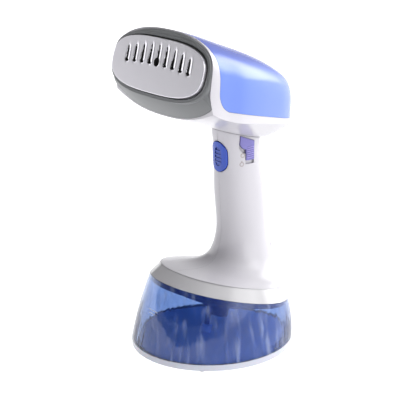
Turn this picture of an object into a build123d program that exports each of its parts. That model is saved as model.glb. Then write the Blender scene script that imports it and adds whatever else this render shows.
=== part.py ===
from build123d import *
import math
import os

os.makedirs("parts", exist_ok=True)

# Handheld garment steamer, millimetres. +Z is up, the steam plate looks towards -Y,
# and the origin is the middle of the tank's footprint on the surface it stands on.

reach = 80.0  # past the head and the grip on every side
ring_points = 32  # points on a closed outline

# ---- fits and walls ----
fit = 0.15  # between pieces that stay together
run = 0.3  # between pieces that move
wall = 2.4  # white, grey and blue mouldings
tank_wall = 2.0

# ---- tank and its base ----
foot_height = 1.6
base_half_width = 63.1
base_half_depth = 66.8
base_height = 5.1
base_floor = 1.8
base_wall = 2.2
foot_radius = 4.0
foot_inset = 6.5  # foot's middle, in from the base's edge
foot_ring_radius = 42.0
foot_ring_width = 4.0
tank_bulge = 0.9  # the tank's side stands this far outside a straight cone

# ---- flange: the tilted plane where the tank meets the body ----
flange_tilt = 13.77
flange_y = 7.3
flange_rise = 40.4  # from the base's top edge to the flange's middle
flange_half_width = 56.4
flange_half_depth = 57.4
trim_height = 9.8
trim_inset = 7.3
trim_ledge = 5.0  # inner shelf that carries the grip
body_floor = 2.0
body_floor_lift = 0.4  # body floor's underside, above the flange plane
lid_thickness = 3.0
seal_thickness = 1.2
seal_width = 3.0

# ---- water coupling ----
coupling_shift = -5.0  # along the flange, towards the front
boss_radius = 7.0
boss_length = 14.0
spigot_radius = 3.4
spigot_bore = 1.5
spigot_length = 9.0
nipple_radius = 1.7  # nipples that the inner hoses push on to
nipple_bore = 0.9
nipple_length = 6.0
hose_radius = 3.0
hose_bore = 1.8
suction_radius = 2.2
suction_bore = 1.2
filter_radius = 4.5
filter_height = 7.0
stopper_radius = 9.0
stopper_shift = 29.0
stopper_depth = 5.0

# ---- tank latch: the button at the back pushes a springy catch that stands on the tank ----
catch_width = 8.0
catch_thickness = 1.6
latch_travel = 2.0
button_width = 18.0
button_proud = 0.9
button_collar_shift = 47.4  # collar's front, behind the flange's middle
button_collar = 1.4
latch_spring_radius = 1.7
latch_spring_length = 6.0
spring_wire = 0.35

# ---- grip ----
foot_rise = 35.4  # from the top of the trim to where the grip is clear of its flare
grip_length = 75.0
neck_length = 19.0  # hidden inside the head
grip_exponent = 2.3

# ---- head ----
head_tilt = 16.08
head_reach = 59.8  # steam plate's middle, forward of the grip's front
head_rise = 67.0  # steam plate's middle, above the grip's top
head_exponent = 2.45
keel_exponent = 2.4
head_half_width = 60.0
head_top = 29.2
head_low = -25.4
cover_front = 12.8  # cover's front edge, behind the plate's middle
cover_corner = 18.0
parting_drop = 25.8  # cover's lower edge below the plate's middle, at its front
parting_slope = 14.8
ring_half_width = 59.6  # the frame's ring round the lip
ring_above = 27.3
ring_below = 24.2
ring_exponent = 2.2
ring_round = 1.3
chin_length = 20.0

# ---- steam plate ----
plate_half_width = 54.9
plate_half_height = 20.5
plate_exponent = 2.94
plate_thickness = 1.6
plate_depth = 7.0
gasket_width = 1.1
lip_width = 2.3
lip_front = 3.0  # behind the plate's face
lip_back = 8.0
lip_skirt = 0.9
skirt_back = 6.0
slot_count = 9
slot_pitch = 9.34
slot_width = 1.7
slot_top = 15.3
slot_low = 0.44
slot_top_sag = 0.0035  # per square millimetre away from the middle
slot_low_sag = 0.0015
channel_width = 4.4
channel_margin = 1.85
channel_depth = 0.7
port_radius = 2.2

# ---- boiler ----
boiler_gap = 0.6
boiler_depth = 14.0
boiler_recess = 4.0
boiler_wall = 4.0
boiler_lid = 2.5
boiler_web = 2.0
post_radius = 3.0
post_x = 33.0
post_v = 9.0
screw_radius = 1.3
screw_head_radius = 2.6
screw_head_height = 1.8
element_radius = 3.0
element_spacing = 44.0
element_v = -6.0
feed_v = -4.0
carrier_gap = 3.15  # from the boiler's lid to its carrier
carrier_thickness = 2.5
board_gap = 6.0
board_thickness = 1.6
board_width = 36.0
board_height = 24.0
board_x = 26.0
board_v = 2.0

# ---- trigger ----
trigger_width = 17.0
trigger_height = 24.5
trigger_drop = 12.6  # trigger's middle, below the grip's top
trigger_proud = 1.0
trigger_depth = 9.4  # from the grip's front to the trigger's back
trigger_travel = 2.5
trigger_gap = 0.4
collar_lip = 0.9
collar_thickness = 1.5
rib_recess_width = 7.0
rib_recess_length = 15.0
rib_recess_depth = 0.8
rib_count = 4

# ---- steam lock slider ----
slider_width = 8.0
slider_back = 23.3  # slider's rear edge, behind the grip's front
slider_bottom = 14.8  # below the grip's top
slider_proud = 0.7
slider_depth = 1.25
slider_travel = 3.0
hook_reach = 5.5
hook_bottom = 5.2
hook_top = 5.3  # hook's top above the grip's top, at its front
hook_fall = 5.3

# =====================================================================
# places worked out from the sizes
# =====================================================================


def tilted(y, z, tilt, height=0.0):
    """A plane leaning forward by tilt degrees, with its middle on the model's centre plane."""
    lean = math.radians(tilt)
    normal = Vector(0, math.sin(lean), math.cos(lean))
    return Plane(origin=Vector(0, y, z) + normal * height, x_dir=(1, 0, 0), z_dir=normal)


base_top = foot_height + base_height
flange_z = base_top + flange_rise
flange = tilted(flange_y, flange_z, flange_tilt)
deck = flange.offset(trim_height)
deck_y = deck.origin.Y
deck_z = deck.origin.Z
deck_half_width = flange_half_width - trim_inset
deck_half_depth = flange_half_depth - trim_inset
rim_y = deck_half_depth * math.cos(math.radians(flange_tilt))
rim_z = deck_half_depth * math.sin(math.radians(flange_tilt))
foot_z = deck_z + foot_rise
grip_z = foot_z + grip_length
grip_y = deck_y - 4.6  # the grip's front at its top
head_y = grip_y - head_reach
head_z = grip_z + head_rise
fall = math.tan(math.radians(head_tilt))

opening_half_width = plate_half_width + gasket_width
opening_half_height = plate_half_height + gasket_width
lip_half_width = opening_half_width + lip_width
lip_half_height = opening_half_height + lip_width

plate_plane = Plane(
    origin=(0, head_y, head_z),
    x_dir=(1, 0, 0),
    z_dir=(0, -math.cos(math.radians(head_tilt)), math.sin(math.radians(head_tilt))),
)
side_plane = Plane(origin=plate_plane.origin, x_dir=-plate_plane.z_dir, z_dir=(1, 0, 0))

# The head's stations: distance behind the plate's middle, share of the front's width,
# top's drop, crease's rise, keel's depth below the crease. Heights follow the head's fall.
head_stations = (
    (-6.0, 1.000, 0.0, 0.6, 10.5),
    (5.5, 1.000, 0.0, 0.0, 11.4),
    (13.0, 0.992, 0.0, -1.9, 9.9),
    (24.0, 0.957, 0.2, -3.2, 9.1),
    (39.0, 0.917, 1.5, -3.2, 10.2),
    (54.0, 0.843, 2.7, -2.2, 12.7),
    (69.0, 0.750, 4.0, -1.2, 15.2),
    (84.0, 0.643, 5.9, -0.4, 16.4),
    (99.0, 0.530, 8.8, 0.4, 14.6),
    (111.0, 0.417, 11.9, 0.8, 9.4),
    (120.5, 0.293, 15.2, 1.2, 5.0),
    (125.5, 0.197, 18.2, 1.7, 3.2),
    (128.3, 0.110, 21.6, 2.4, 2.2),
    (129.7, 0.045, 25.6, 3.6, 1.6),
)
head_length = head_stations[-1][0]

# The grip's stations from the trim's top upwards: front (y, z), back (y, z), half width,
# all from the middle of the trim's top.
flare_stations = (
    (-rim_y, rim_z, rim_y, -rim_z, deck_half_width),
    (-36.6, 10.6, 48.4, -9.8, 44.0),
    (-23.6, 8.9, 48.1, -6.6, 37.5),
    (-13.6, 9.8, 47.6, -1.6, 31.0),
    (-7.1, 13.6, 46.9, 5.6, 26.0),
    (-3.3, 20.4, 45.7, 15.4, 22.5),
    (-0.6, foot_rise, 43.0, foot_rise - 2.0, 18.9),
)
grip_stations = (
    (-1.5, 0.29, 39.7, 17.9),
    (-3.1, 0.64, 35.9, 17.0),
    (-4.6, 1.00, 33.6, 16.6),
)


def oval(plane, half_width, above, below, exponent_above, exponent_below):
    """A closed superellipse face with its own height and exponent above and below the middle."""
    ring = []
    for step in range(ring_points):
        turn = 2 * math.pi * step / ring_points
        c, s = math.cos(turn), math.sin(turn)
        exponent = exponent_above if s > 0 else exponent_below
        height = above if s > 0 else below
        x = half_width * math.copysign(abs(c) ** (2 / exponent), c)
        ring.append((x, height * math.copysign(abs(s) ** (2 / exponent), s)))
    with BuildSketch(plane) as face:
        with BuildLine():
            Spline(*ring, periodic=True)
        make_face()
    return face.sketch


def superellipse(plane, half_width, half_height, exponent):
    """A closed superellipse face, the same above and below."""
    return oval(plane, half_width, half_height, half_height, exponent, exponent)


def head_section(plane, half_width, top, crease, keel):
    """A head section: rounded above, nearly upright sides, a crease, and a shallow keel."""
    middle = crease + 0.47 * (top - crease)
    crease_half = 0.985 * half_width
    upper = [(crease_half, crease)]
    for step in range(13):
        turn = math.pi * step / 12
        c, s = math.cos(turn), math.sin(turn)
        x = half_width * math.copysign(abs(c) ** (2 / head_exponent), c)
        upper.append((x, middle + (top - middle) * abs(s) ** (2 / head_exponent)))
    upper.append((-crease_half, crease))
    lower = [(-crease_half, crease)]
    for share in (-0.8, -0.45, 0.0, 0.45, 0.8):
        lower.append((share * crease_half, keel + (crease - keel) * abs(share) ** keel_exponent))
    lower.append((crease_half, crease))
    with BuildSketch(plane) as face:
        with BuildLine():
            Spline(*upper)
            Spline(*lower)
        make_face()
    return face.sketch


def head_form(inset=0.0):
    """The head's outer form, or the hollow inside it when inset by a wall."""
    sections = []
    shrink = (head_length - inset) / head_length
    for back, share, drop, rise, depth in head_stations:
        spine = head_z - back * fall
        place = Plane(origin=(0, head_y + back * shrink, spine), x_dir=(1, 0, 0), z_dir=(0, -1, 0))
        half_width = share * (head_half_width - inset)
        top = head_top - drop - inset
        crease = head_low + rise + 0.8 * inset
        keel = head_low + rise - depth + inset
        sections.append(head_section(place, half_width, top, crease, keel))
    with BuildPart() as form:
        loft(sections=sections)
    return form.part


def grip_section(front, back, half_width, exponent):
    """A closed section through a front and a back point on the centre plane."""
    middle = (front + back) / 2
    run_back = back - front
    place = Plane(origin=middle, x_dir=(1, 0, 0), z_dir=Vector(1, 0, 0).cross(run_back))
    return superellipse(place, half_width, run_back.length / 2, exponent)


def grip_form(inset=0.0):
    """The grip with its flare, or the hollow inside it when inset by a wall."""
    sections = []
    for front_y, front_z, back_y, back_z, half_width in flare_stations:
        sink = 0.9 * inset
        front = Vector(0, deck_y + front_y + inset, deck_z + front_z - sink)
        back = Vector(0, deck_y + back_y - inset, deck_z + back_z - sink)
        sections.append(grip_section(front, back, half_width - inset, 2.1))
    for front_y, share, back_y, half_width in grip_stations:
        z = foot_z + share * grip_length
        front = Vector(0, deck_y + front_y + inset, z)
        back = Vector(0, deck_y + back_y - inset, z)
        sections.append(grip_section(front, back, half_width - inset, grip_exponent))
    lift = Vector(0, -1.0, neck_length)
    sections.append(grip_section(front + lift, back + lift, half_width - inset, grip_exponent))
    with BuildPart() as form:
        loft(sections=sections)
    return form.part


head_outer = head_form()
head_inner = head_form(wall)
head_grown = head_form(-fit)
head_clear = head_form(-run)
head_hollow = head_form(wall + fit)  # what just fits inside the head
grip_outer = grip_form()
grip_inner = grip_form(wall)
grip_hollow = grip_form(wall + fit)  # what just fits inside the grip
grip_room = grip_form(wall + run)  # what moves inside the grip


def ellipse(plane, half_width, half_depth):
    """An elliptical face on a plane."""
    with BuildSketch(plane) as face:
        Ellipse(half_width, half_depth)
    return face.sketch


def finish(shape, name):
    """Label a piece and write it to its own file."""
    shape.label = name
    export_step(shape, "parts/" + name + ".step")


def at_plate(back, x=0.0, up=0.0):
    """A plane parallel to the steam plate, some way behind it, facing forwards."""
    place = plate_plane.offset(-back)
    return Plane(origin=place.from_local_coords((x, up, 0)), x_dir=(1, 0, 0), z_dir=place.z_dir)


def at_flange(lift, x=0.0, back=0.0):
    """A plane parallel to the flange, facing up, with its middle moved along the flange."""
    place = flange.offset(lift)
    return Plane(origin=place.from_local_coords((x, back, 0)), x_dir=(1, 0, 0), z_dir=place.z_dir)


def along_y(x, y, z):
    """A plane facing backwards, with its own x to the left and its own y up."""
    return Plane(origin=(x, y, z), x_dir=(-1, 0, 0), z_dir=(0, 1, 0))


# ---------------------------------------------------------------------
# tank
# ---------------------------------------------------------------------
base_bottom = Plane.XY.offset(foot_height)
base_rim = Plane.XY.offset(base_top)
pocket_floor = foot_height + base_floor
tank_bottom = pocket_floor + fit
tank_floor = tank_bottom + tank_wall
pocket_half_width = base_half_width - base_wall
pocket_half_depth = base_half_depth - base_wall
foot_sink = 0.6
foot_places = [
    ((base_half_width - foot_inset) * math.cos(turn), (base_half_depth - foot_inset) * math.sin(turn))
    for turn in (math.radians(angle) for angle in (45, 135, 225, 315))
]

with BuildPart() as tank_base:
    extrude(ellipse(base_bottom, base_half_width, base_half_depth), amount=base_height)
    chamfer(tank_base.faces().sort_by(Axis.Z)[0].edges(), 0.4)
    pocket = ellipse(Plane.XY.offset(pocket_floor), pocket_half_width, pocket_half_depth)
    extrude(pocket, amount=base_height, mode=Mode.SUBTRACT)
    with BuildSketch(base_bottom):
        Circle(foot_ring_radius + fit)
        Circle(foot_ring_radius - foot_ring_width - fit, mode=Mode.SUBTRACT)
        with Locations(*foot_places):
            Circle(foot_radius + fit)
    extrude(amount=foot_sink, mode=Mode.SUBTRACT)
finish(tank_base.part, "tank_base")

with BuildPart() as foot_ring:
    with BuildSketch():
        Circle(foot_ring_radius)
        Circle(foot_ring_radius - foot_ring_width, mode=Mode.SUBTRACT)
    extrude(amount=foot_height + foot_sink)
finish(foot_ring.part, "foot_ring")

for number, (foot_x, foot_y) in enumerate(foot_places, start=1):
    with BuildPart() as tank_foot:
        with BuildSketch():
            with Locations((foot_x, foot_y)):
                Circle(foot_radius)
        extrude(amount=foot_height + foot_sink)
        chamfer(tank_foot.faces().sort_by(Axis.Z)[0].edges(), 0.4)
    finish(tank_foot.part, f"tank_foot_{number}")

tank_rim = flange.offset(-run)


def tank_side(inset, foot_half_width, foot_half_depth):
    """The tank's tapering side, from the base's rim up to the flange, inset by a wall."""
    middle = tilted(flange_y / 2, (base_top + flange_z) / 2, flange_tilt / 2)
    half_width = (base_half_width + flange_half_width) / 2 + tank_bulge - inset
    half_depth = (base_half_depth + flange_half_depth) / 2 + tank_bulge - inset
    sections = [
        ellipse(base_rim, foot_half_width, foot_half_depth),
        ellipse(middle, half_width, half_depth),
        ellipse(tank_rim, flange_half_width - inset, flange_half_depth - inset),
    ]
    with BuildPart() as side:
        loft(sections=sections)
    return side.part


cavity_half_width = pocket_half_width - fit - tank_wall
cavity_half_depth = pocket_half_depth - fit - tank_wall

with BuildPart() as tank_body:
    add(tank_side(0.0, base_half_width, base_half_depth))
    plug = ellipse(base_rim, pocket_half_width - fit, pocket_half_depth - fit)
    extrude(plug, amount=tank_bottom - base_top)
    add(tank_side(tank_wall, cavity_half_width, cavity_half_depth), mode=Mode.SUBTRACT)
    cavity = ellipse(base_rim, cavity_half_width, cavity_half_depth)
    extrude(cavity, amount=tank_floor - base_top, mode=Mode.SUBTRACT)
finish(tank_body.part, "tank_body")

# The lid lies inside the tank's rim. The coupling and the stopper sit in it from above.
lid_half_width = flange_half_width - tank_wall - fit
lid_half_depth = flange_half_depth - tank_wall - fit
lid_low = -run - lid_thickness
neck_radius = boss_radius - 1.6
stopper_head = 1.5

with BuildPart() as tank_lid:
    extrude(ellipse(tank_rim, lid_half_width, lid_half_depth), amount=-lid_thickness)
    with BuildSketch(at_flange(-run, back=coupling_shift)):
        Circle(neck_radius + fit)
    extrude(amount=-lid_thickness, mode=Mode.SUBTRACT)
    with BuildSketch(at_flange(-run, back=stopper_shift)):
        Circle(stopper_radius + fit)
    extrude(amount=-stopper_head - fit, mode=Mode.SUBTRACT)
    with BuildSketch(at_flange(-run, back=stopper_shift)):
        Circle(stopper_radius - 2.0 + fit)
    extrude(amount=-lid_thickness, mode=Mode.SUBTRACT)
finish(tank_lid.part, "tank_lid")

with BuildPart() as tank_lid_seal:
    seal_plane = flange.offset(lid_low - fit)
    extrude(ellipse(seal_plane, lid_half_width, lid_half_depth), amount=-seal_thickness)
    hole = ellipse(seal_plane, lid_half_width - seal_width, lid_half_depth - seal_width)
    extrude(hole, amount=-seal_thickness, mode=Mode.SUBTRACT)
finish(tank_lid_seal.part, "tank_lid_seal")

with BuildPart() as filler_stopper:
    with BuildSketch(at_flange(-run, back=stopper_shift)):
        Circle(stopper_radius)
    extrude(amount=-stopper_head)
    with BuildSketch(at_flange(-run, back=stopper_shift)):
        Circle(stopper_radius - 2.0)
    extrude(amount=-stopper_depth)
finish(filler_stopper.part, "filler_stopper")

# coupling: a neck through the lid, a boss under it, a seal round the body's spigot
boss_low = lid_low - fit - boss_length
suction_socket = 4.0
seal_radius = spigot_radius + 1.3

with BuildPart() as tank_coupling:
    with BuildSketch(at_flange(-run, back=coupling_shift)):
        Circle(neck_radius)
    extrude(amount=lid_low - fit + run)
    with BuildSketch(at_flange(lid_low - fit, back=coupling_shift)):
        Circle(boss_radius)
    extrude(amount=-boss_length)
    with BuildSketch(at_flange(-run, back=coupling_shift)):
        Circle(spigot_radius + run)
    extrude(amount=-spigot_length - 1.0, mode=Mode.SUBTRACT)
    with BuildSketch(at_flange(-run, back=coupling_shift)):
        Circle(seal_radius)
    extrude(amount=-seal_thickness - fit, mode=Mode.SUBTRACT)
    with BuildSketch(at_flange(boss_low, back=coupling_shift)):
        Circle(suction_radius + fit)
    extrude(amount=suction_socket, mode=Mode.SUBTRACT)
    with BuildSketch(at_flange(boss_low, back=coupling_shift)):
        Circle(suction_bore)
    extrude(amount=boss_length, mode=Mode.SUBTRACT)
finish(tank_coupling.part, "tank_coupling")

with BuildPart() as coupling_seal:
    with BuildSketch(at_flange(-run - seal_thickness, back=coupling_shift)):
        Circle(seal_radius - fit)
        Circle(spigot_radius + run, mode=Mode.SUBTRACT)
    extrude(amount=seal_thickness)
finish(coupling_seal.part, "coupling_seal")

# suction tube, down the coupling's axis to a filter just clear of the tank's floor
axis_top = at_flange(0, back=coupling_shift).origin
filter_low = -(axis_top.Z - tank_floor - 2.5) / math.cos(math.radians(flange_tilt))
suction_top = boss_low + suction_socket - fit

with BuildPart() as suction_tube:
    with BuildSketch(at_flange(filter_low + 3.0, back=coupling_shift)):
        Circle(suction_radius)
        Circle(suction_bore, mode=Mode.SUBTRACT)
    extrude(amount=suction_top - filter_low - 3.0)
finish(suction_tube.part, "suction_tube")

with BuildPart() as suction_filter:
    with BuildSketch(at_flange(filter_low, back=coupling_shift)):
        Circle(filter_radius)
    extrude(amount=filter_height)
    with BuildSketch(at_flange(filter_low + 2.0, back=coupling_shift)):
        Circle(suction_radius + fit)
    extrude(amount=filter_height, mode=Mode.SUBTRACT)
finish(suction_filter.part, "suction_filter")

# ---------------------------------------------------------------------
# trim ring and body floor
# ---------------------------------------------------------------------
trim_top = trim_height - fit
button_low = body_floor_lift + body_floor + run
button_high = trim_top - wall - run
button_middle = (button_low + button_high) / 2
button_height = button_high - button_low
button_face = flange_half_depth - trim_inset * button_middle / trim_height + button_proud


def trim_form(inset, top):
    """The trim's tapering ring as a solid, inset by a wall, up to a height above the flange."""
    share = top / trim_height
    sections = [
        ellipse(flange, flange_half_width - inset, flange_half_depth - inset),
        ellipse(
            flange.offset(top),
            flange_half_width - trim_inset * share - inset,
            flange_half_depth - trim_inset * share - inset,
        ),
    ]
    with BuildPart() as form:
        loft(sections=sections)
    return form.part


def at_back(back, up, x=0.0):
    """A plane facing backwards along the flange, with its own y along the flange's normal."""
    place = Plane(origin=flange.from_local_coords((x, back, up)), x_dir=(-1, 0, 0), z_dir=flange.y_dir)
    return place


with BuildPart() as trim_ring:
    add(trim_form(0.0, trim_top))
    add(trim_form(wall, trim_top - wall), mode=Mode.SUBTRACT)
    opening = ellipse(deck, deck_half_width - trim_ledge, deck_half_depth - trim_ledge)
    extrude(opening, amount=-trim_height, mode=Mode.SUBTRACT)
    with BuildSketch(at_back(button_collar_shift, button_middle)):
        SlotOverall(button_width + 2 * run, button_height + 2 * run)
    extrude(amount=trim_inset + wall + 2.0, mode=Mode.SUBTRACT)
finish(trim_ring.part, "trim_ring")

floor_plane = flange.offset(body_floor_lift)
floor_top = body_floor_lift + body_floor
latch_spring_x = catch_width / 2 + latch_spring_radius + spring_wire + 0.5
spring_post = button_collar_shift - latch_spring_length - 2 * spring_wire
catch_back = spring_post + run + catch_thickness + run
catch_top = button_middle
push_front = catch_back + run + latch_travel
spigot_flange_radius = 7.0
spigot_flange_thickness = 2.0

with BuildPart() as body_floor_plate:
    inner_width = flange_half_width - trim_inset * floor_top / trim_height - wall - fit
    inner_depth = flange_half_depth - trim_inset * floor_top / trim_height - wall - fit
    extrude(ellipse(floor_plane, inner_width, inner_depth), amount=body_floor)
    with BuildSketch(at_flange(body_floor_lift, back=coupling_shift)):
        Circle(spigot_radius + fit)
    extrude(amount=body_floor, mode=Mode.SUBTRACT)
    with BuildSketch(at_flange(body_floor_lift, back=catch_back - catch_thickness / 2)):
        Rectangle(catch_width + 2 * run, catch_thickness + 2 * run)
    extrude(amount=body_floor, mode=Mode.SUBTRACT)
    with BuildSketch(at_flange(floor_top, back=spring_post - 1.0)):
        Rectangle(2 * latch_spring_x + 2 * latch_spring_radius + 2.0, 2.0)
    extrude(amount=button_height)
finish(body_floor_plate.part, "body_floor")

with BuildPart() as tank_catch:
    with BuildSketch(at_flange(-run, back=catch_back - catch_thickness / 2)):
        Rectangle(catch_width, catch_thickness)
    extrude(amount=run + catch_top)
    chamfer(tank_catch.edges().filter_by(Axis.X).sort_by(Axis.Z)[-2:], 0.4)
finish(tank_catch.part, "tank_catch")

with BuildPart() as coupling_spigot:
    with BuildSketch(at_flange(floor_top, back=coupling_shift)):
        Circle(spigot_flange_radius)
    extrude(amount=spigot_flange_thickness)
    with BuildSketch(at_flange(-run - spigot_length, back=coupling_shift)):
        Circle(spigot_radius)
    extrude(amount=run + spigot_length + floor_top + spigot_flange_thickness)
    with BuildSketch(at_flange(floor_top + spigot_flange_thickness, back=coupling_shift)):
        Circle(nipple_radius)
    extrude(amount=nipple_length)
    with BuildSketch(at_flange(-run - spigot_length, back=coupling_shift)):
        Circle(nipple_bore)
    extrude(amount=spigot_length + trim_height + nipple_length, mode=Mode.SUBTRACT)
    with BuildSketch(at_flange(-run - spigot_length, back=coupling_shift)):
        Circle(spigot_bore)
    extrude(amount=run + spigot_length + floor_top, mode=Mode.SUBTRACT)
finish(coupling_spigot.part, "coupling_spigot")

with BuildPart() as release_button:
    with BuildSketch(at_back(button_collar_shift + button_collar, button_middle)):
        SlotOverall(button_width, button_height)
    extrude(amount=button_face - button_collar_shift - button_collar)
    with BuildSketch(at_back(button_collar_shift, button_middle)):
        SlotOverall(button_width + 2 * button_collar, button_height)
    extrude(amount=button_collar)
    with BuildSketch(at_back(push_front, button_middle)):
        Rectangle(catch_width, button_height / 2)
    extrude(amount=button_collar_shift + button_collar - push_front)
finish(release_button.part, "release_button")


def coil(place, radius, length, turns):
    """A compression spring standing on a plane."""
    with BuildPart() as spring:
        with BuildLine():
            helix = Helix(pitch=length / turns, height=length, radius=radius)
        with BuildSketch(Plane(origin=helix @ 0, z_dir=helix % 0)):
            Circle(spring_wire)
        sweep(path=helix)
    return spring.part.moved(place.location)


for side, sign in (("left", -1), ("right", 1)):
    spring_up = button_high - latch_spring_radius - spring_wire
    spring_start = spring_post + spring_wire + 0.2
    latch_spring = coil(
        at_back(spring_start, spring_up, sign * latch_spring_x),
        latch_spring_radius,
        latch_spring_length - 0.4,
        6,
    )
    finish(latch_spring, f"latch_spring_{side}")


# ---------------------------------------------------------------------
# grip
# ---------------------------------------------------------------------
trigger_z = grip_z - trigger_drop
trigger_back = grip_y + trigger_depth
bracket_front = trigger_back + trigger_travel + 5.0
bracket_thickness = 2.0
slider_bottom_z = grip_z - slider_bottom
slider_rear_y = grip_y + slider_back
slider_front_y = slider_rear_y - slider_width
boss_outer = 3.2
grip_screws = (
    (grip_y + 9.5, foot_z + 0.27 * grip_length),
    (grip_y + 34.0, grip_z - 17.0),
    (deck_y + 4.5, foot_z - 13.0),
    (deck_y + 36.5, foot_z - 13.0),
)
screw_seat = 7.0  # screw head's seat, from the centre plane
gland_radius = 5.0
gland_bore = 2.8
gland_flange_radius = 6.6
gland_z = foot_z - 22.0
gland_y = deck_y + 47.6
gland_length = 2.0
gland_inside = 4.5


def slot_along_y(height, width, y_from, y_to, x=0.0, z=0.0):
    """An upright round-ended bar lying along Y, as tall as height."""
    with BuildPart() as bar:
        with BuildSketch(Plane(origin=(x, y_from, z), x_dir=(0, 0, 1), z_dir=(0, 1, 0))):
            SlotOverall(height, width)
        extrude(amount=y_to - y_from)
    return bar.part


def slider_outline(grow, stretch):
    """The slider's side outline: a strip with a wider hooked head, grown and stretched down."""
    low = slider_bottom_z - stretch - grow
    shoulder = grip_z - hook_bottom - stretch - grow
    top = grip_z + hook_top + grow
    front = slider_front_y - grow
    rear = slider_rear_y + grow
    with BuildSketch(Plane.YZ) as outline:
        with BuildLine():
            Polyline(
                (front, low),
                (rear, low),
                (rear, top - hook_fall),
                (front - hook_reach, top),
                (front - hook_reach, shoulder + 3.6),
                (front - 0.5 * hook_reach, shoulder),
                (front, shoulder - 0.9),
                close=True,
            )
        make_face()
    return outline.sketch


trigger_outer = grip_form(-trigger_proud)
slider_outer = grip_form(-slider_proud)
slider_inner = grip_form(slider_depth)
pocket_inner = grip_form(slider_depth + run)

with BuildPart() as slider_pocket:
    extrude(slider_outline(run, slider_travel), amount=30)
    add(pocket_inner, mode=Mode.SUBTRACT)
clip_y = slider_front_y + slider_width / 2
clip_z = slider_bottom_z + 9.0
tongue_width = 3.0
tongue_height = 7.0
clip_side = 9.0  # clear of the clip, from the centre plane


def tongue_slot(grow, stretch):
    """The slot, or with no growth the tongue, that leads through the grip's wall."""
    with BuildSketch(Plane.YZ) as outline:
        with Locations((clip_y, clip_z - stretch / 2)):
            Rectangle(tongue_width + 2 * grow, tongue_height + stretch + 2 * grow)
    return outline.sketch


with BuildPart() as grip_wall:
    add(grip_outer)
    add(grip_inner, mode=Mode.SUBTRACT)
    add(head_grown, mode=Mode.SUBTRACT)
    trigger_hole_height = trigger_height + 2 * trigger_gap
    trigger_hole_width = trigger_width + 2 * trigger_gap
    hole = slot_along_y(trigger_hole_height, trigger_hole_width, grip_y - 10, grip_y + 12, 0, trigger_z)
    add(hole, mode=Mode.SUBTRACT)
    with BuildSketch(along_y(0, gland_y - gland_inside, gland_z)):
        Circle(gland_radius + fit)
    extrude(amount=gland_inside + gland_length + 5.0, mode=Mode.SUBTRACT)

with BuildPart() as right_bosses:
    for screw_y, screw_z in grip_screws:
        with BuildSketch(Plane.YZ.offset(fit / 2)):
            with Locations((screw_y, screw_z)):
                Circle(boss_outer)
        extrude(amount=60)
    add(grip_outer, mode=Mode.INTERSECT)
    add(head_grown, mode=Mode.SUBTRACT)

with BuildPart() as right_grip:
    add(grip_wall.part)
    split(bisect_by=Plane.YZ.offset(fit / 2), keep=Keep.TOP)
    add(right_bosses.part)
    for screw_y, screw_z in grip_screws:
        with BuildSketch(Plane.YZ):
            with Locations((screw_y, screw_z)):
                Circle(screw_radius + 0.05)
        extrude(amount=8.0, mode=Mode.SUBTRACT)
    add(slider_pocket.part, mode=Mode.SUBTRACT)
    extrude(tongue_slot(run, slider_travel), amount=30, mode=Mode.SUBTRACT)
finish(right_grip.part, "grip_right")

with BuildPart() as left_bosses:
    for screw_y, screw_z in grip_screws:
        with BuildSketch(Plane.YZ.offset(-fit / 2)):
            with Locations((screw_y, screw_z)):
                Circle(boss_outer)
        extrude(amount=-60)
    add(grip_outer, mode=Mode.INTERSECT)
    add(head_grown, mode=Mode.SUBTRACT)

with BuildPart() as left_grip:
    add(grip_wall.part)
    split(bisect_by=Plane.YZ.offset(-fit / 2), keep=Keep.BOTTOM)
    add(left_bosses.part)
    for screw_y, screw_z in grip_screws:
        with BuildSketch(Plane.YZ):
            with Locations((screw_y, screw_z)):
                Circle(screw_radius + fit)
        extrude(amount=-60, mode=Mode.SUBTRACT)
        with BuildSketch(Plane.YZ.offset(-screw_seat)):
            with Locations((screw_y, screw_z)):
                Circle(screw_head_radius + fit)
        extrude(amount=-60, mode=Mode.SUBTRACT)
finish(left_grip.part, "grip_left")

for number, (screw_y, screw_z) in enumerate(grip_screws, start=1):
    with BuildPart() as grip_screw:
        with BuildSketch(Plane.YZ.offset(-screw_seat)):
            with Locations((screw_y, screw_z)):
                Circle(screw_radius)
        extrude(amount=screw_seat + 7.5)
        with BuildSketch(Plane.YZ.offset(-screw_seat)):
            with Locations((screw_y, screw_z)):
                Circle(screw_head_radius)
        extrude(amount=-screw_head_height)
    finish(grip_screw.part, f"grip_screw_{number}")

with BuildPart() as cord_gland:
    with BuildSketch(along_y(0, gland_y - gland_inside - 3.0, gland_z)):
        Circle(gland_flange_radius)
    extrude(amount=12.0)
    add(grip_room, mode=Mode.INTERSECT)
    with BuildSketch(along_y(0, gland_y - gland_inside, gland_z)):
        Circle(gland_radius)
    extrude(amount=gland_inside + gland_length)
    with BuildSketch(along_y(0, gland_y - gland_inside - 3.0, gland_z)):
        Circle(gland_bore)
    extrude(amount=gland_inside + gland_length + 3.0, mode=Mode.SUBTRACT)
finish(cord_gland.part, "cord_gland")

# trigger: an oval cap that follows the grip's front, with a collar behind the wall
rib_pitch = rib_recess_length / (rib_count + 1)
rib_rise = 0.6
rib_thickness = 1.0

with BuildPart() as trigger_collar:
    collar_front_y = trigger_back - collar_thickness
    collar_height = trigger_height + 2 * trigger_gap + 2 * collar_lip
    collar_width = trigger_width + 2 * trigger_gap + 2 * collar_lip
    add(slot_along_y(collar_height, collar_width, collar_front_y, trigger_back, 0, trigger_z))
    add(grip_room, mode=Mode.INTERSECT)

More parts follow.
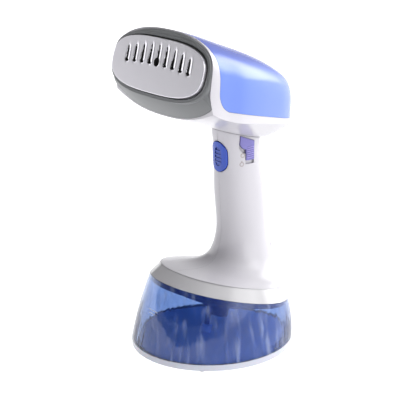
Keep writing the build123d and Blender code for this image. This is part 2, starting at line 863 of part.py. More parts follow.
with BuildPart() as steam_trigger:
    add(slot_along_y(trigger_height, trigger_width, grip_y - 10, trigger_back, 0, trigger_z))
    add(trigger_outer, mode=Mode.INTERSECT)
    add(trigger_collar.part)
    recess_floor = grip_y - trigger_proud + 1.0 + rib_recess_depth
    recess = slot_along_y(rib_recess_length, rib_recess_width, grip_y - 10, recess_floor, 0, trigger_z)
    add(recess, mode=Mode.SUBTRACT)
    for number in range(rib_count):
        rib_z = trigger_z + (number - (rib_count - 1) / 2) * rib_pitch
        with BuildSketch(along_y(0, recess_floor - rib_rise, rib_z)):
            Rectangle(rib_recess_width + 1.0, rib_thickness)
        extrude(amount=rib_rise + 0.5)
    hollow_front = recess_floor + 1.5
    hollow_back = trigger_back - collar_thickness
    hollow = slot_along_y(trigger_height - 5, trigger_width - 5, hollow_front, hollow_back, 0, trigger_z)
    add(hollow, mode=Mode.SUBTRACT)
finish(steam_trigger.part, "steam_trigger")

bracket_height = trigger_height + 4.0

with BuildPart() as switch_bracket:
    with BuildSketch(along_y(0, bracket_front, trigger_z)):
        Rectangle(2 * grip_stations[-1][3] + 10, bracket_height)
    extrude(amount=bracket_thickness)
    add(grip_hollow, mode=Mode.INTERSECT)
    clip_room = tongue_height + 4.0 + slider_travel + 2 * run
    with BuildSketch(Plane.YZ.offset(clip_side)):
        with Locations((bracket_front + 1.0, clip_z - slider_travel / 2)):
            Rectangle(2 * bracket_thickness, clip_room)
    extrude(amount=reach, mode=Mode.SUBTRACT)
finish(switch_bracket.part, "switch_bracket")

switch_z = trigger_z - 5.0
switch_depth = 4.2

with BuildPart() as micro_switch:
    with BuildSketch(along_y(0, bracket_front - switch_depth, switch_z)):
        Rectangle(12.8, 6.0)
    extrude(amount=switch_depth)
    with BuildSketch(along_y(2.0, bracket_front - switch_depth - 0.5, switch_z)):
        Rectangle(2.0, 1.4)
    extrude(amount=0.5)
finish(micro_switch.part, "micro_switch")

trigger_spring_radius = 2.6
trigger_spring_length = bracket_front - trigger_back - 2 * spring_wire - 0.2
trigger_spring_place = Plane(
    origin=(0, trigger_back + spring_wire + 0.1, trigger_z + 5.5), x_dir=(-1, 0, 0), z_dir=(0, 1, 0)
)
trigger_spring = coil(trigger_spring_place, trigger_spring_radius, trigger_spring_length, 6)
finish(trigger_spring, "trigger_spring")

# steam lock: a hooked slide in the right side, held by a clip inside the wall
clip_thickness = 1.4
clip_innermost = grip_form(wall + run + clip_thickness)

with BuildPart() as slider_tongue:
    extrude(tongue_slot(0.0, 0.0), amount=30)
    add(grip_outer, mode=Mode.INTERSECT)
    add(clip_innermost, mode=Mode.SUBTRACT)

with BuildPart() as lock_slider:
    extrude(slider_outline(0.0, 0.0), amount=30)
    add(slider_outer, mode=Mode.INTERSECT)
    add(slider_inner, mode=Mode.SUBTRACT)
    add(head_clear, mode=Mode.SUBTRACT)
    add(slider_tongue.part)
finish(lock_slider.part, "lock_slider")

with BuildPart() as slider_clip:
    with BuildSketch(Plane.YZ):
        with Locations((clip_y, clip_z)):
            Rectangle(tongue_width + 5.0, tongue_height + 4.0)
            Rectangle(tongue_width + 2 * 0.05, tongue_height + 2 * 0.05, mode=Mode.SUBTRACT)
    extrude(amount=30)
    add(grip_room, mode=Mode.INTERSECT)
    add(clip_innermost, mode=Mode.SUBTRACT)
finish(slider_clip.part, "slider_clip")

# pump, carried by two mounts that fill the grip's hollow
pump_radius = 8.5
pump_y = deck_y + 20.5
pump_low = foot_z + 5.0
pump_high = foot_z + 38.0
mount_thickness = 3.0

with BuildPart() as water_pump:
    with BuildSketch(Plane.XY.offset(pump_low)):
        with Locations((0, pump_y)):
            Circle(pump_radius)
    extrude(amount=pump_high - pump_low)
    with BuildSketch(Plane.XY.offset(pump_low - nipple_length)):
        with Locations((0, pump_y)):
            Circle(nipple_radius)
    extrude(amount=pump_high - pump_low + 2 * nipple_length)
finish(water_pump.part, "water_pump")

for name, low in (("pump_mount_lower", pump_low + 3.0), ("pump_mount_upper", pump_high - 6.0)):
    with BuildPart() as pump_mount:
        with BuildSketch(Plane.XY.offset(low)):
            with Locations((0, pump_y)):
                Rectangle(60, 60)
                Circle(pump_radius + fit, mode=Mode.SUBTRACT)
        extrude(amount=mount_thickness)
        add(grip_hollow, mode=Mode.INTERSECT)
        for screw_y, screw_z in grip_screws:
            with BuildSketch(Plane.YZ.offset(-30)):
                with Locations((screw_y, screw_z)):
                    Circle(boss_outer + fit)
            extrude(amount=60, mode=Mode.SUBTRACT)
    finish(pump_mount.part, name)


def hose(points, radii):
    """A hose of round section along straight runs joined by arcs."""
    with BuildPart() as tube:
        with BuildLine() as route:
            FilletPolyline(*points, radius=radii)
        path = route.wires()[0]
        with BuildSketch(Plane(origin=path @ 0, z_dir=path % 0)):
            Circle(hose_radius)
            Circle(hose_bore, mode=Mode.SUBTRACT)
        sweep(path=path)
    return tube.part


spigot_top = at_flange(floor_top + spigot_flange_thickness + 0.5, back=coupling_shift)
hose_rise = spigot_top.origin + spigot_top.z_dir * 12.0
pump_foot = Vector(0, pump_y, pump_low - 0.5)
pump_inlet_hose = hose([spigot_top.origin, hose_rise, pump_foot - Vector(0, 0, 15.5), pump_foot], 6.0)
finish(pump_inlet_hose, "pump_inlet_hose")


# ---------------------------------------------------------------------
# head
# ---------------------------------------------------------------------
far = head_length + 30.0

# The line where frame and shell part, seen from the side: behind the plate, and up from its middle.
nose_line = (
    (4.6, 34.0),
    (4.6, 16.0),
    (4.9, 0.0),
    (6.6, -8.0),
    (9.0, -15.0),
    (12.0, -21.0),
    (15.0, -28.0),
    (17.0, -38.0),
)


def nose_region(back):
    """Everything in front of the head shell's front edge, moved back by a little."""
    line = [(u + back, v) for u, v in nose_line]
    with BuildPart() as region:
        with BuildSketch(side_plane):
            with BuildLine():
                Spline(*line)
                Polyline(line[-1], (line[-1][0], -reach), (-reach, -reach), (-reach, reach))
                Polyline((-reach, reach), (line[0][0], reach), line[0])
            make_face()
        extrude(amount=reach, both=True)
    return region.part


def cover_region(grow):
    """Everything above and behind the parting line between the head's shell and its cover."""
    front = head_y + cover_front - grow
    low = head_z - parting_drop - grow
    rear = head_y + far
    rear_low = low - (far - cover_front) * math.tan(math.radians(parting_slope))
    with BuildPart() as region:
        with BuildSketch(Plane.YZ):
            with BuildLine():
                Polyline(
                    (front, head_z + reach),
                    (front, low),
                    (rear, rear_low),
                    (rear, head_z + reach),
                    close=True,
                )
            make_face()
        extrude(amount=reach, both=True)
        corner = region.edges().filter_by(Axis.X).sort_by(Axis.Z)
        fillet(corner.filter_by_position(Axis.Y, front - 1, front + 1)[0], cover_corner + grow)
    return region.part


with BuildPart() as head_shell:
    add(head_outer)
    add(head_inner, mode=Mode.SUBTRACT)
    add(nose_region(0.0), mode=Mode.SUBTRACT)
    add(cover_region(fit), mode=Mode.SUBTRACT)
    add(grip_inner, mode=Mode.SUBTRACT)
finish(head_shell.part, "head_shell")

with BuildPart() as head_cover:
    add(head_outer)
    add(head_inner, mode=Mode.SUBTRACT)
    add(cover_region(0.0), mode=Mode.INTERSECT)
finish(head_cover.part, "head_cover")

# Front frame: a lip and a rounded ring round the steam plate, and a chin that runs down to
# the shell. The chin's stations: distance behind the plate, half width, top, crease, keel.
chin_stations = (
    (lip_front + 0.5, 53.5, 4.0, -13.5, -24.0),
    (8.0, 58.0, 8.0, -18.0, -28.2),
    (chin_length, 60.0, 14.0, -26.5, -37.0),
)


def chin_form(inset=0.0):
    """The chin's form, or the hollow inside it when inset by a wall."""
    sections = []
    for back, half_width, top, crease, keel in chin_stations:
        place = at_plate(back)
        sections.append(
            head_section(place, half_width - inset, top - inset, crease + 0.8 * inset, keel + inset)
        )
    with BuildPart() as form:
        loft(sections=sections)
    return form.part


with BuildPart() as frame_ring:
    ring_front = lip_front + 0.3
    sections = [
        oval(
            at_plate(ring_front + depth),
            ring_half_width - inset,
            ring_above - inset,
            ring_below - inset,
            ring_exponent,
            plate_exponent,
        )
        for depth, inset in (
            (0.0, ring_round),
            (0.3 * ring_round, 0.4 * ring_round),
            (ring_round, 0.0),
            (lip_back - ring_front, 0.0),
        )
    ]
    loft(sections=sections, ruled=True)

chin_hollow_front = lip_front + 0.5 + wall

with BuildPart() as chin_hollow:
    add(chin_form(wall))
    split(bisect_by=at_plate(chin_hollow_front), keep=Keep.BOTTOM)

with BuildPart() as head_bezel:
    add(chin_form())
    add(frame_ring.part)
    add(nose_region(-fit), mode=Mode.INTERSECT)
    add(chin_hollow.part, mode=Mode.SUBTRACT)
    lip = superellipse(at_plate(lip_front), lip_half_width, lip_half_height, plate_exponent)
    extrude(lip, amount=-wall / 2)
    skirt = superellipse(
        at_plate(lip_front),
        opening_half_width + lip_skirt,
        opening_half_height + lip_skirt,
        plate_exponent,
    )
    extrude(skirt, amount=lip_front - skirt_back)
    opening = superellipse(at_plate(0), opening_half_width, opening_half_height, plate_exponent)
    extrude(opening, amount=-chin_length, mode=Mode.SUBTRACT)
finish(head_bezel.part, "head_bezel")

with BuildPart() as plate_gasket:
    gasket_front = lip_front + 0.4
    outline = superellipse(
        at_plate(gasket_front), opening_half_width - fit, opening_half_height - fit, plate_exponent
    )
    extrude(outline, amount=gasket_front - plate_depth)
    hole = superellipse(at_plate(0), plate_half_width + fit, plate_half_height + fit, plate_exponent)
    extrude(hole, amount=-plate_depth, mode=Mode.SUBTRACT)
finish(plate_gasket.part, "plate_gasket")

# steam plate: a shallow pan with nine slots, each in its own channel
slot_xs = [(number - (slot_count - 1) / 2) * slot_pitch for number in range(slot_count)]


def slots(width, margin):
    """The slots' outlines on the plate, widened and lengthened by a margin."""
    with BuildSketch(plate_plane) as outline:
        for x in slot_xs:
            top = slot_top - slot_top_sag * x * x + margin
            low = slot_low - slot_low_sag * x * x - margin
            with Locations((x, (top + low) / 2)):
                SlotOverall(top - low, width, rotation=90)
    return outline.sketch


with BuildPart() as steam_plate:
    face = superellipse(plate_plane, plate_half_width, plate_half_height, plate_exponent)
    extrude(face, amount=-plate_depth)
    fillet(steam_plate.faces().sort_by(Axis.Y)[0].edges(), 1.2)
    inside = superellipse(
        at_plate(plate_thickness),
        plate_half_width - plate_thickness,
        plate_half_height - plate_thickness,
        plate_exponent,
    )
    extrude(inside, amount=-plate_depth, mode=Mode.SUBTRACT)
    extrude(slots(channel_width, channel_margin), amount=-channel_depth, mode=Mode.SUBTRACT)
    extrude(slots(slot_width, 0.0), amount=-plate_thickness, mode=Mode.SUBTRACT)
    with BuildSketch(at_plate(0, up=slot_low)):
        Circle(port_radius)
    extrude(amount=-plate_thickness, mode=Mode.SUBTRACT)
finish(steam_plate.part, "steam_plate")

# ---------------------------------------------------------------------
# boiler
# ---------------------------------------------------------------------
boiler_front = plate_thickness + 0.1
boiler_back = boiler_front + boiler_depth
boiler_half_width = plate_half_width - plate_thickness - boiler_gap
boiler_half_height = plate_half_height - plate_thickness - boiler_gap
lid_front = boiler_back + fit
lid_back = lid_front + boiler_lid
carrier_front = lid_back + carrier_gap
carrier_back = carrier_front + carrier_thickness
board_front = carrier_back + board_gap
board_back = board_front + board_thickness
posts = [(x, v) for x in (-post_x, post_x) for v in (-post_v, post_v)]
board_post_radius = 2.0
board_posts = [
    (board_x + side * (board_width / 2 - 3.0), board_v + end * (board_height / 2 - 3.0))
    for side in (-1, 1)
    for end in (-1, 1)
]

with BuildPart() as boiler:
    body = superellipse(at_plate(boiler_front), boiler_half_width, boiler_half_height, plate_exponent)
    extrude(body, amount=-boiler_depth)
    chamber_half_width = boiler_half_width - boiler_wall
    chamber_half_height = boiler_half_height - boiler_wall
    steam_chamber = superellipse(
        at_plate(boiler_front), chamber_half_width, chamber_half_height, plate_exponent
    )
    extrude(steam_chamber, amount=-boiler_recess, mode=Mode.SUBTRACT)
    water_front = boiler_front + boiler_recess + boiler_web
    water_chamber = superellipse(
        at_plate(water_front), chamber_half_width, chamber_half_height, plate_exponent
    )
    extrude(water_chamber, amount=water_front - boiler_back, mode=Mode.SUBTRACT)
    with BuildSketch(at_plate(water_front)):
        with Locations(*posts):
            Circle(post_radius)
    extrude(amount=water_front - boiler_back)
    with BuildSketch(at_plate(water_front + 1.3)):
        with Locations(*posts):
            Circle(screw_radius + 0.05)
    extrude(amount=-boiler_depth, mode=Mode.SUBTRACT)
    with BuildSketch(at_plate(boiler_front, up=slot_low)):
        Circle(port_radius)
    extrude(amount=-boiler_depth / 2, mode=Mode.SUBTRACT)
finish(boiler.part, "boiler")

pins = [(-element_spacing / 2, element_v), (element_spacing / 2, element_v)]
element_back = lid_back + 1.5
element_middle = water_front + element_radius + run
terminal_length = 4.0
thermostat_x = -16.0
thermostat_v = 6.0
thermostat_radius = 7.0
thermostat_height = 6.0

with BuildPart() as boiler_lid_plate:
    body = superellipse(at_plate(lid_front), boiler_half_width, boiler_half_height, plate_exponent)
    extrude(body, amount=-boiler_lid)
    with BuildSketch(at_plate(lid_front)):
        with Locations(*posts):
            Circle(screw_radius + fit)
        with Locations(*pins):
            Circle(element_radius + fit)
    extrude(amount=-boiler_lid, mode=Mode.SUBTRACT)
    with BuildSketch(at_plate(lid_back, up=feed_v)):
        Circle(nipple_radius)
    extrude(amount=-nipple_length)
    with BuildSketch(at_plate(lid_front, up=feed_v)):
        Circle(nipple_bore)
    extrude(amount=-boiler_lid - nipple_length, mode=Mode.SUBTRACT)
finish(boiler_lid_plate.part, "boiler_lid")

with BuildPart() as heating_element:
    left = at_plate(element_back, pins[0][0], element_v).origin
    right = at_plate(element_back, pins[1][0], element_v).origin
    inward = plate_plane.z_dir * (element_back - element_middle)
    with BuildLine() as route:
        FilletPolyline(left, left + inward, right + inward, right, radius=element_radius + 0.5)
    with BuildSketch(Plane(origin=left, z_dir=plate_plane.z_dir)):
        Circle(element_radius)
    sweep(path=route.wires()[0])
    with BuildSketch(at_plate(element_back)):
        with Locations(*pins):
            Circle(1.2)
    extrude(amount=-terminal_length)
finish(heating_element.part, "heating_element")

with BuildPart() as thermostat:
    with BuildSketch(at_plate(lid_back, thermostat_x, thermostat_v)):
        Circle(thermostat_radius)
    extrude(amount=-thermostat_height)
finish(thermostat.part, "thermostat")

fuse_radius = 1.4

with BuildPart() as thermal_fuse:
    fuse_start = at_plate(lid_back + fuse_radius + 0.1, 6.0, 8.0).origin
    with BuildSketch(Plane(origin=fuse_start, z_dir=(1, 0, 0))):
        Circle(fuse_radius)
    extrude(amount=12.0)
    with BuildSketch(Plane(origin=fuse_start - Vector(2.5, 0, 0), z_dir=(1, 0, 0))):
        Circle(0.5)
    extrude(amount=17.0)
finish(thermal_fuse.part, "thermal_fuse")

with BuildPart() as boiler_carrier:
    with BuildSketch(at_plate(carrier_front)):
        Rectangle(2 * reach, 2 * reach)
    extrude(amount=-carrier_thickness)
    add(head_hollow, mode=Mode.INTERSECT)
    with BuildSketch(at_plate(lid_back + 0.05)):
        with Locations(*posts):
            Circle(post_radius)
    extrude(amount=-carrier_gap - 0.5)
    with BuildSketch(at_plate(carrier_back)):
        with Locations(*board_posts):
            Circle(board_post_radius)
    extrude(amount=-board_gap)
    with BuildSketch(at_plate(lid_back)):
        with Locations(*posts):
            Circle(screw_radius + fit)
        with Locations((0, feed_v)):
            Circle(hose_radius + run)
        with Locations((thermostat_x, thermostat_v)):
            Circle(thermostat_radius + run)
        with Locations(*pins):
            Circle(element_radius + 1.0)
    extrude(amount=-carrier_gap - carrier_thickness, mode=Mode.SUBTRACT)
finish(boiler_carrier.part, "boiler_carrier")

for number, (screw_x, screw_v) in enumerate(posts, start=1):
    with BuildPart() as boiler_screw:
        with BuildSketch(at_plate(carrier_back, screw_x, screw_v)):
            Circle(screw_radius)
        extrude(amount=carrier_back - water_front - 2.0)
        with BuildSketch(at_plate(carrier_back, screw_x, screw_v)):
            Circle(screw_head_radius)
        extrude(amount=-screw_head_height)
    finish(boiler_screw.part, f"boiler_screw_{number}")

with BuildPart() as control_board:
    with BuildSketch(at_plate(board_front, board_x, board_v)):
        Rectangle(board_width, board_height)
    extrude(amount=-board_thickness)
finish(control_board.part, "control_board")

with BuildPart() as board_relay:
    with BuildSketch(at_plate(board_back, board_x + 6.0, board_v)):
        Rectangle(12.0, 15.0)
    extrude(amount=-10.0)
finish(board_relay.part, "board_relay")

feed_end = at_plate(lid_back + 0.6, 0, feed_v).origin
outward = -plate_plane.z_dir
pump_head = Vector(0, pump_y, pump_high + 0.5)
bend = feed_end + outward * ((pump_y - feed_end.Y) / outward.Y)
finish(hose([pump_head, bend, feed_end], 10.0), "pump_outlet_hose")
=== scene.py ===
import math
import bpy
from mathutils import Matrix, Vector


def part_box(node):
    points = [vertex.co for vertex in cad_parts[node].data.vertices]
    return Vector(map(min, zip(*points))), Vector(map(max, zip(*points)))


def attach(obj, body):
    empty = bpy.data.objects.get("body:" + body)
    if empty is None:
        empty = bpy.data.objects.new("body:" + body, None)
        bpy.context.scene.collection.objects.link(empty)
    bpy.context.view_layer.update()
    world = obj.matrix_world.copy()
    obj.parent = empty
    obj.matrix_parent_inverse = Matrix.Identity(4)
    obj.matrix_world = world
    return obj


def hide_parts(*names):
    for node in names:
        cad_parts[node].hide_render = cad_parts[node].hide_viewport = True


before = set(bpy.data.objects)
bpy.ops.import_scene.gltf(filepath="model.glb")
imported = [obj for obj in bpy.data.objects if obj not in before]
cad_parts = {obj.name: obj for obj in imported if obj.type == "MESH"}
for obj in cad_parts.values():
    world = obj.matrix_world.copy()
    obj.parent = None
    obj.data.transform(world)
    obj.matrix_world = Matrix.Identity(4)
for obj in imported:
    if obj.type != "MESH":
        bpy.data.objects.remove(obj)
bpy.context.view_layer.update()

from types import SimpleNamespace

import bmesh
import bpy
from bpy.props import FloatProperty, FloatVectorProperty, IntProperty, PointerProperty
from mathutils import Matrix, Vector
from mathutils.bvhtree import BVHTree

bl_info = {
    "name": "Garment steamer",
    "version": (1, 0, 0),
    "blender": (4, 5, 0),
    "location": "View3D > Sidebar > Steamer",
    "description": "Dresses the garment steamer: mouldings, steam plate, clear tank, inner parts and stage",
    "category": "Object",
}

MM = 0.001
SHARP_ANGLE = math.radians(35.0)

BODY = "steamer_body"
TANK = "water_tank"
SLIDER = "slider"

RIGHT = Vector((1.0, 0.0, 0.0))
FRONT = Vector((0.0, -1.0, 0.0))
BACK = Vector((0.0, 1.0, 0.0))
DOWN = Vector((0.0, 0.0, -1.0))

# The steam plate leans back from the upright by this much, about its middle.
HEAD_TILT = math.radians(16.08)
PLATE_NORMAL = Vector((0.0, -math.cos(HEAD_TILT), math.sin(HEAD_TILT)))
PLATE_UP = Vector((0.0, math.sin(HEAD_TILT), math.cos(HEAD_TILT)))

# The tank's rim lies in a plane that is higher at the front.
RIM_TILT = math.radians(13.77)
RIM_MIDDLE = Vector((0.0, 0.0073, 0.0471))
RIM_BACK = Vector((0.0, math.cos(RIM_TILT), -math.sin(RIM_TILT)))
RIM_UP = Vector((0.0, math.sin(RIM_TILT), math.cos(RIM_TILT)))

# ---------------------------------------------------------------------
# steam plate's form, in millimetres on the plate: x to the right, v up, and depth behind its face
# ---------------------------------------------------------------------
PLATE_COLUMNS = 300
PLATE_ROWS = 124
EDGE_TURNS = (22.5, 45.0, 67.5, 90.0)  # degrees at which the rolled edge has a row
PIT_DEPTH = 2.6
RAMP_DEPTH = 0.5  # a slot's right side rises to the face along a ramp
RAMP_WIDTH = 2.6
RAMP_START = (-0.14, 0.10)  # shares of the slot's length over which the ramp grows
RAMP_END = (0.78, 1.22)  # and over which it fades
RIDGE_HEIGHT = 0.2  # the ramp ends in a low ridge
RIDGE_WIDTH = 0.7
LIP_DEPTH = 0.5  # a slot's left side is rolled in a little
LIP_WIDTH = 0.6
METAL_DEPTH = RAMP_DEPTH + 0.3  # below this a pit takes the near-black painted shade and no more metal
SLOT_FOOT = 1.42  # half of the slot's width near its foot
SLOT_TIP = 0.32  # and at its tip
SLOT_TAPER = 0.8
SLOT_ROUNDING = 0.09  # share of the slot's length that rounds its foot
FOOT_CURVE = 0.0015  # the slots lie lower towards the plate's ends
TIP_CURVE = 0.0035
PORT_RISE = 2.2  # the port's middle above the middle slot's foot
HOOK_SHIFT = 0.9  # the foot of a slot hooks round the end of its ramp
HOOK_HALF = 2.1
HOOK_RISE = 0.75

# ---------------------------------------------------------------------
# raised strips and rings: each row is a share of the width and a share of the rise, and the
# outer rows sink into the surface
# ---------------------------------------------------------------------
SUNK = -0.4
STRIP_ROWS = ((0.0, SUNK), (0.06, 0.3), (0.25, 0.85), (0.5, 1.0), (0.75, 0.85), (0.94, 0.3), (1.0, SUNK))
STRIP_COLUMNS = 14
RING_ROWS = ((-0.5, SUNK), (-0.3, 0.8), (0.0, 1.0), (0.3, 0.8), (0.5, SUNK))
RING_SEGMENTS = 32
REACH = 0.2  # metres from the centre plane, well outside the steamer

# ---------------------------------------------------------------------
# slider's ribs and the plain marks, in millimetres
# ---------------------------------------------------------------------
SLIDER_RIBS = 6
RIB_FIRST = 1.6  # above the slider's foot
RIB_PITCH = 1.65
RIB_WIDTH = 0.95
RIB_PROUD = 0.45
RIB_ENDS = (7.4, 0.6)  # in front of the slider's rear edge
MARK_RINGS = ((17.7, 156.3), (17.0, 149.2))  # y and z of each ring's middle
MARK_RADIUS = 1.5
MARK_WIDTH = 0.8
MARK_PROUD = 0.18
TICK_ALONG = (16.5, 17.5)
TICK_UP = (150.9, 152.0)
LEVELS = ((-10.5, 2.5, 38.6), (-8.2, 0.2, 36.4))  # left, right and z of each line
LEVEL_WIDTH = 0.6
LEVEL_PROUD = 0.06

# ---------------------------------------------------------------------
# frosted floor of the tank, in millimetres
# ---------------------------------------------------------------------
ROUND_SEGMENTS = 96
FLOOR_PROBE = Vector((0.0, 0.02, 0.02))  # a point above the tank's floor, in metres
WALL_HEIGHT = 0.5  # above the floor, where the wall is measured
FROST_GAP = 0.2  # to the wall
FROST_LIFT = 0.15  # above the moulded floor
FROST_THICKNESS = 0.3

# ---------------------------------------------------------------------
# well and valve under the tank's lid, in millimetres below the tank's rim and behind its middle
# ---------------------------------------------------------------------
LID_UNDERSIDE = 3.2
WELL_BOTTOM = 12.0
WELL_RADIUS = 30.0
WELL_REAR = 19.0
WELL_EDGE = 1.2
COUPLING_BORE = 7.3
COUPLING_SHIFT = -5.0
VALVE_RADIUS = 8.6
VALVE_BOTTOM = 26.0
VALVE_SHIFT = 4.0
VALVE_EDGE = 1.0
VALVE_OVERLAP = 0.1
VALVE_SEGMENTS = 64
EDGE_SEGMENTS = 3

# ---------------------------------------------------------------------
# stage, in metres: the table lies lower than the tank does when the tank has come off
# ---------------------------------------------------------------------
TABLE_RADIUS = 9.0
TABLE_BRIM = 0.65
TABLE_DROP = 0.062
LAMP_PLACE = Vector((0.2, 0.35, 1.8))
LAMP_TARGET = Vector((0.0, -0.012, 0.13))
LAMP_SIZE = 1.6
CAMERA_PLACE = Vector((0.70106, -0.57565, 0.40088))
CAMERA_TARGET = Vector((0.0, -0.01274, 0.12214))
SENSOR_WIDTH = 36.0  # millimetres

# Each part of the studio: the way to it, and the cosines at which its light starts and is full.
BRIGHT_SIDE = ((0.70, 0.50, 0.51), -0.7, 0.8)
CEILING = ((0.0, 0.0, 1.0), 0.25, 0.95)
DARK_END = ((0.45, -0.88, 0.15), 0.55, 0.95)
LEFT_CARD = ((-0.86, -0.40, 0.12), 0.72, 0.98)
SIDE_CARD = ((-0.97, -0.24, 0.0), 0.93, 0.985)
WINDOW = ((1.0, 0.08, 0.16), 0.88, 0.98)
SOFTBOX = ((0.63, 0.43, 0.64), 0.90, 0.99)
BACKLIGHT = ((0.03, 0.95, 0.29), 0.90, 0.985)
SKY_SHARES = (0.1, 1.85)  # of the sky's strength, away from the bright side and towards it
CEILING_SHARE = 0.5
DARK_SHARE = 0.12


def linear(hex_colour):
    """A linear colour from an sRGB hex value."""
    channels = [int(hex_colour[i : i + 2], 16) / 255 for i in (1, 3, 5)]
    return tuple(c / 12.92 if c <= 0.04045 else ((c + 0.055) / 1.055) ** 2.4 for c in channels) + (1.0,)


# ---------------------------------------------------------------------
# settings
# ---------------------------------------------------------------------
class SteamerColours(bpy.types.PropertyGroup):
    """The colours that a user would change."""

    shell: FloatVectorProperty(
        name="Shell", description="White mouldings of the head and grip",
        subtype="COLOR", size=4, min=0.0, max=1.0, default=linear("#C1BFC5"),
    )
    cover: FloatVectorProperty(
        name="Cover", description="Light blue cover of the head",
        subtype="COLOR", size=4, min=0.0, max=1.0, default=linear("#6882D0"),
    )
    # Painted shade: the deeper tone painted on the cover's upper faces.
    painted_cover_top_shade: FloatVectorProperty(
        name="Cover top", description="Deeper tone on the cover's top",
        subtype="COLOR", size=4, min=0.0, max=1.0, default=linear("#2E45A6"),
    )
    front_frame: FloatVectorProperty(
        name="Front frame", description="Grey frame round the steam plate",
        subtype="COLOR", size=4, min=0.0, max=1.0, default=linear("#6C6E70"),
    )
    tank: FloatVectorProperty(
        name="Tank", description="Tint of the clear blue tank",
        subtype="COLOR", size=4, min=0.0, max=1.0, default=linear("#B0C6EA"),
    )
    tank_haze: FloatVectorProperty(
        name="Tank haze", description="Haze in the tank's wall",
        subtype="COLOR", size=4, min=0.0, max=1.0, default=linear("#456FCC"),
    )
    trigger: FloatVectorProperty(
        name="Trigger", description="Blue trigger and release button",
        subtype="COLOR", size=4, min=0.0, max=1.0, default=linear("#1846B4"),
    )
    slider: FloatVectorProperty(
        name="Slider", description="Lilac lock slider",
        subtype="COLOR", size=4, min=0.0, max=1.0, default=linear("#7671B2"),
    )
    slider_rib: FloatVectorProperty(
        name="Slider ribs", description="Crests of the slider's ribs",
        subtype="COLOR", size=4, min=0.0, max=1.0, default=linear("#938CCA"),
    )
    frost: FloatVectorProperty(
        name="Frost", description="Tank's frosted floor",
        subtype="COLOR", size=4, min=0.0, max=1.0, default=linear("#6AAAFF"),
    )
    navy: FloatVectorProperty(
        name="Navy", description="Tank's lid, seen through the tank",
        subtype="COLOR", size=4, min=0.0, max=1.0, default=linear("#081A80"),
    )


class PlateSizes(bpy.types.PropertyGroup):
    """The steam plate's sizes."""

    half_width: FloatProperty(
        name="Half width", description="Half the plate's width", unit="LENGTH", default=54.9 * MM
    )
    half_height: FloatProperty(
        name="Half height", description="Half the plate's height", unit="LENGTH", default=20.5 * MM
    )
    exponent: FloatProperty(name="Exponent", description="How square the plate's outline is", default=2.94)
    edge: FloatProperty(
        name="Edge", description="Radius of the rolled edge", unit="LENGTH", default=0.25 * MM
    )
    depth: FloatProperty(
        name="Depth", description="Depth of the plate's skirt", unit="LENGTH", default=7.0 * MM
    )
    slots: IntProperty(name="Slots", description="Number of steam slots", default=9)
    pitch: FloatProperty(
        name="Pitch", description="From slot to slot", unit="LENGTH", default=9.34 * MM
    )
    slot_foot: FloatProperty(
        name="Slot foot", description="Middle slot's foot above the plate's middle",
        unit="LENGTH", default=0.44 * MM,
    )
    slot_tip: FloatProperty(
        name="Slot tip", description="Middle slot's tip above the plate's middle",
        unit="LENGTH", default=15.3 * MM,
    )
    port: FloatProperty(
        name="Port", description="Radius of the round port", unit="LENGTH", default=3.1 * MM
    )


class StageSettings(bpy.types.PropertyGroup):
    """Camera and light."""

    lens: FloatProperty(name="Lens", description="Focal length", unit="CAMERA", default=108.0)
    sky: FloatProperty(name="Sky", description="Strength of the even white light", default=0.76)
    card: FloatProperty(name="Card", description="Strength of the white card at the left", default=0.2)
    side_card: FloatProperty(name="Side card", description="Strength of the card beside it", default=1.5)
    window: FloatProperty(name="Window", description="Strength of the window at the right", default=1.2)
    softbox: FloatProperty(name="Softbox", description="Strength of the high softbox", default=2.5)
    backlight: FloatProperty(
        name="Backlight", description="Strength of the card behind the steamer", default=5.0
    )
    table: FloatProperty(name="Table", description="Glow of the shooting table", default=0.78)
    top: FloatProperty(name="Top", description="Power of the overhead light", unit="POWER", default=5.5)


# ---------------------------------------------------------------------
# materials
# ---------------------------------------------------------------------
def add_node(tree, kind, inputs=None, **settings):
    """A node with its settings, and its inputs set or linked."""
    node = tree.nodes.new(kind)
    for name, value in settings.items():
        setattr(node, name, value)
    for key, value in (inputs or {}).items():
        if isinstance(value, bpy.types.NodeSocket):
            tree.links.new(value, node.inputs[key])
        else:
            node.inputs[key].default_value = value
    return node


def new_material(name):
    """An empty material and its tree."""
    material = bpy.data.materials.new(name)
    material.use_nodes = True
    tree = material.node_tree
    tree.nodes.clear()
    return material, tree


def set_stops(ramp, *points):
    """Set a colour ramp's stops from (position, colour) pairs."""
    elements = ramp.color_ramp.elements
    while len(elements) < len(points):
        elements.new(0.5)
    for element, (position, colour) in zip(elements, points):
        element.position = position
        element.color = colour


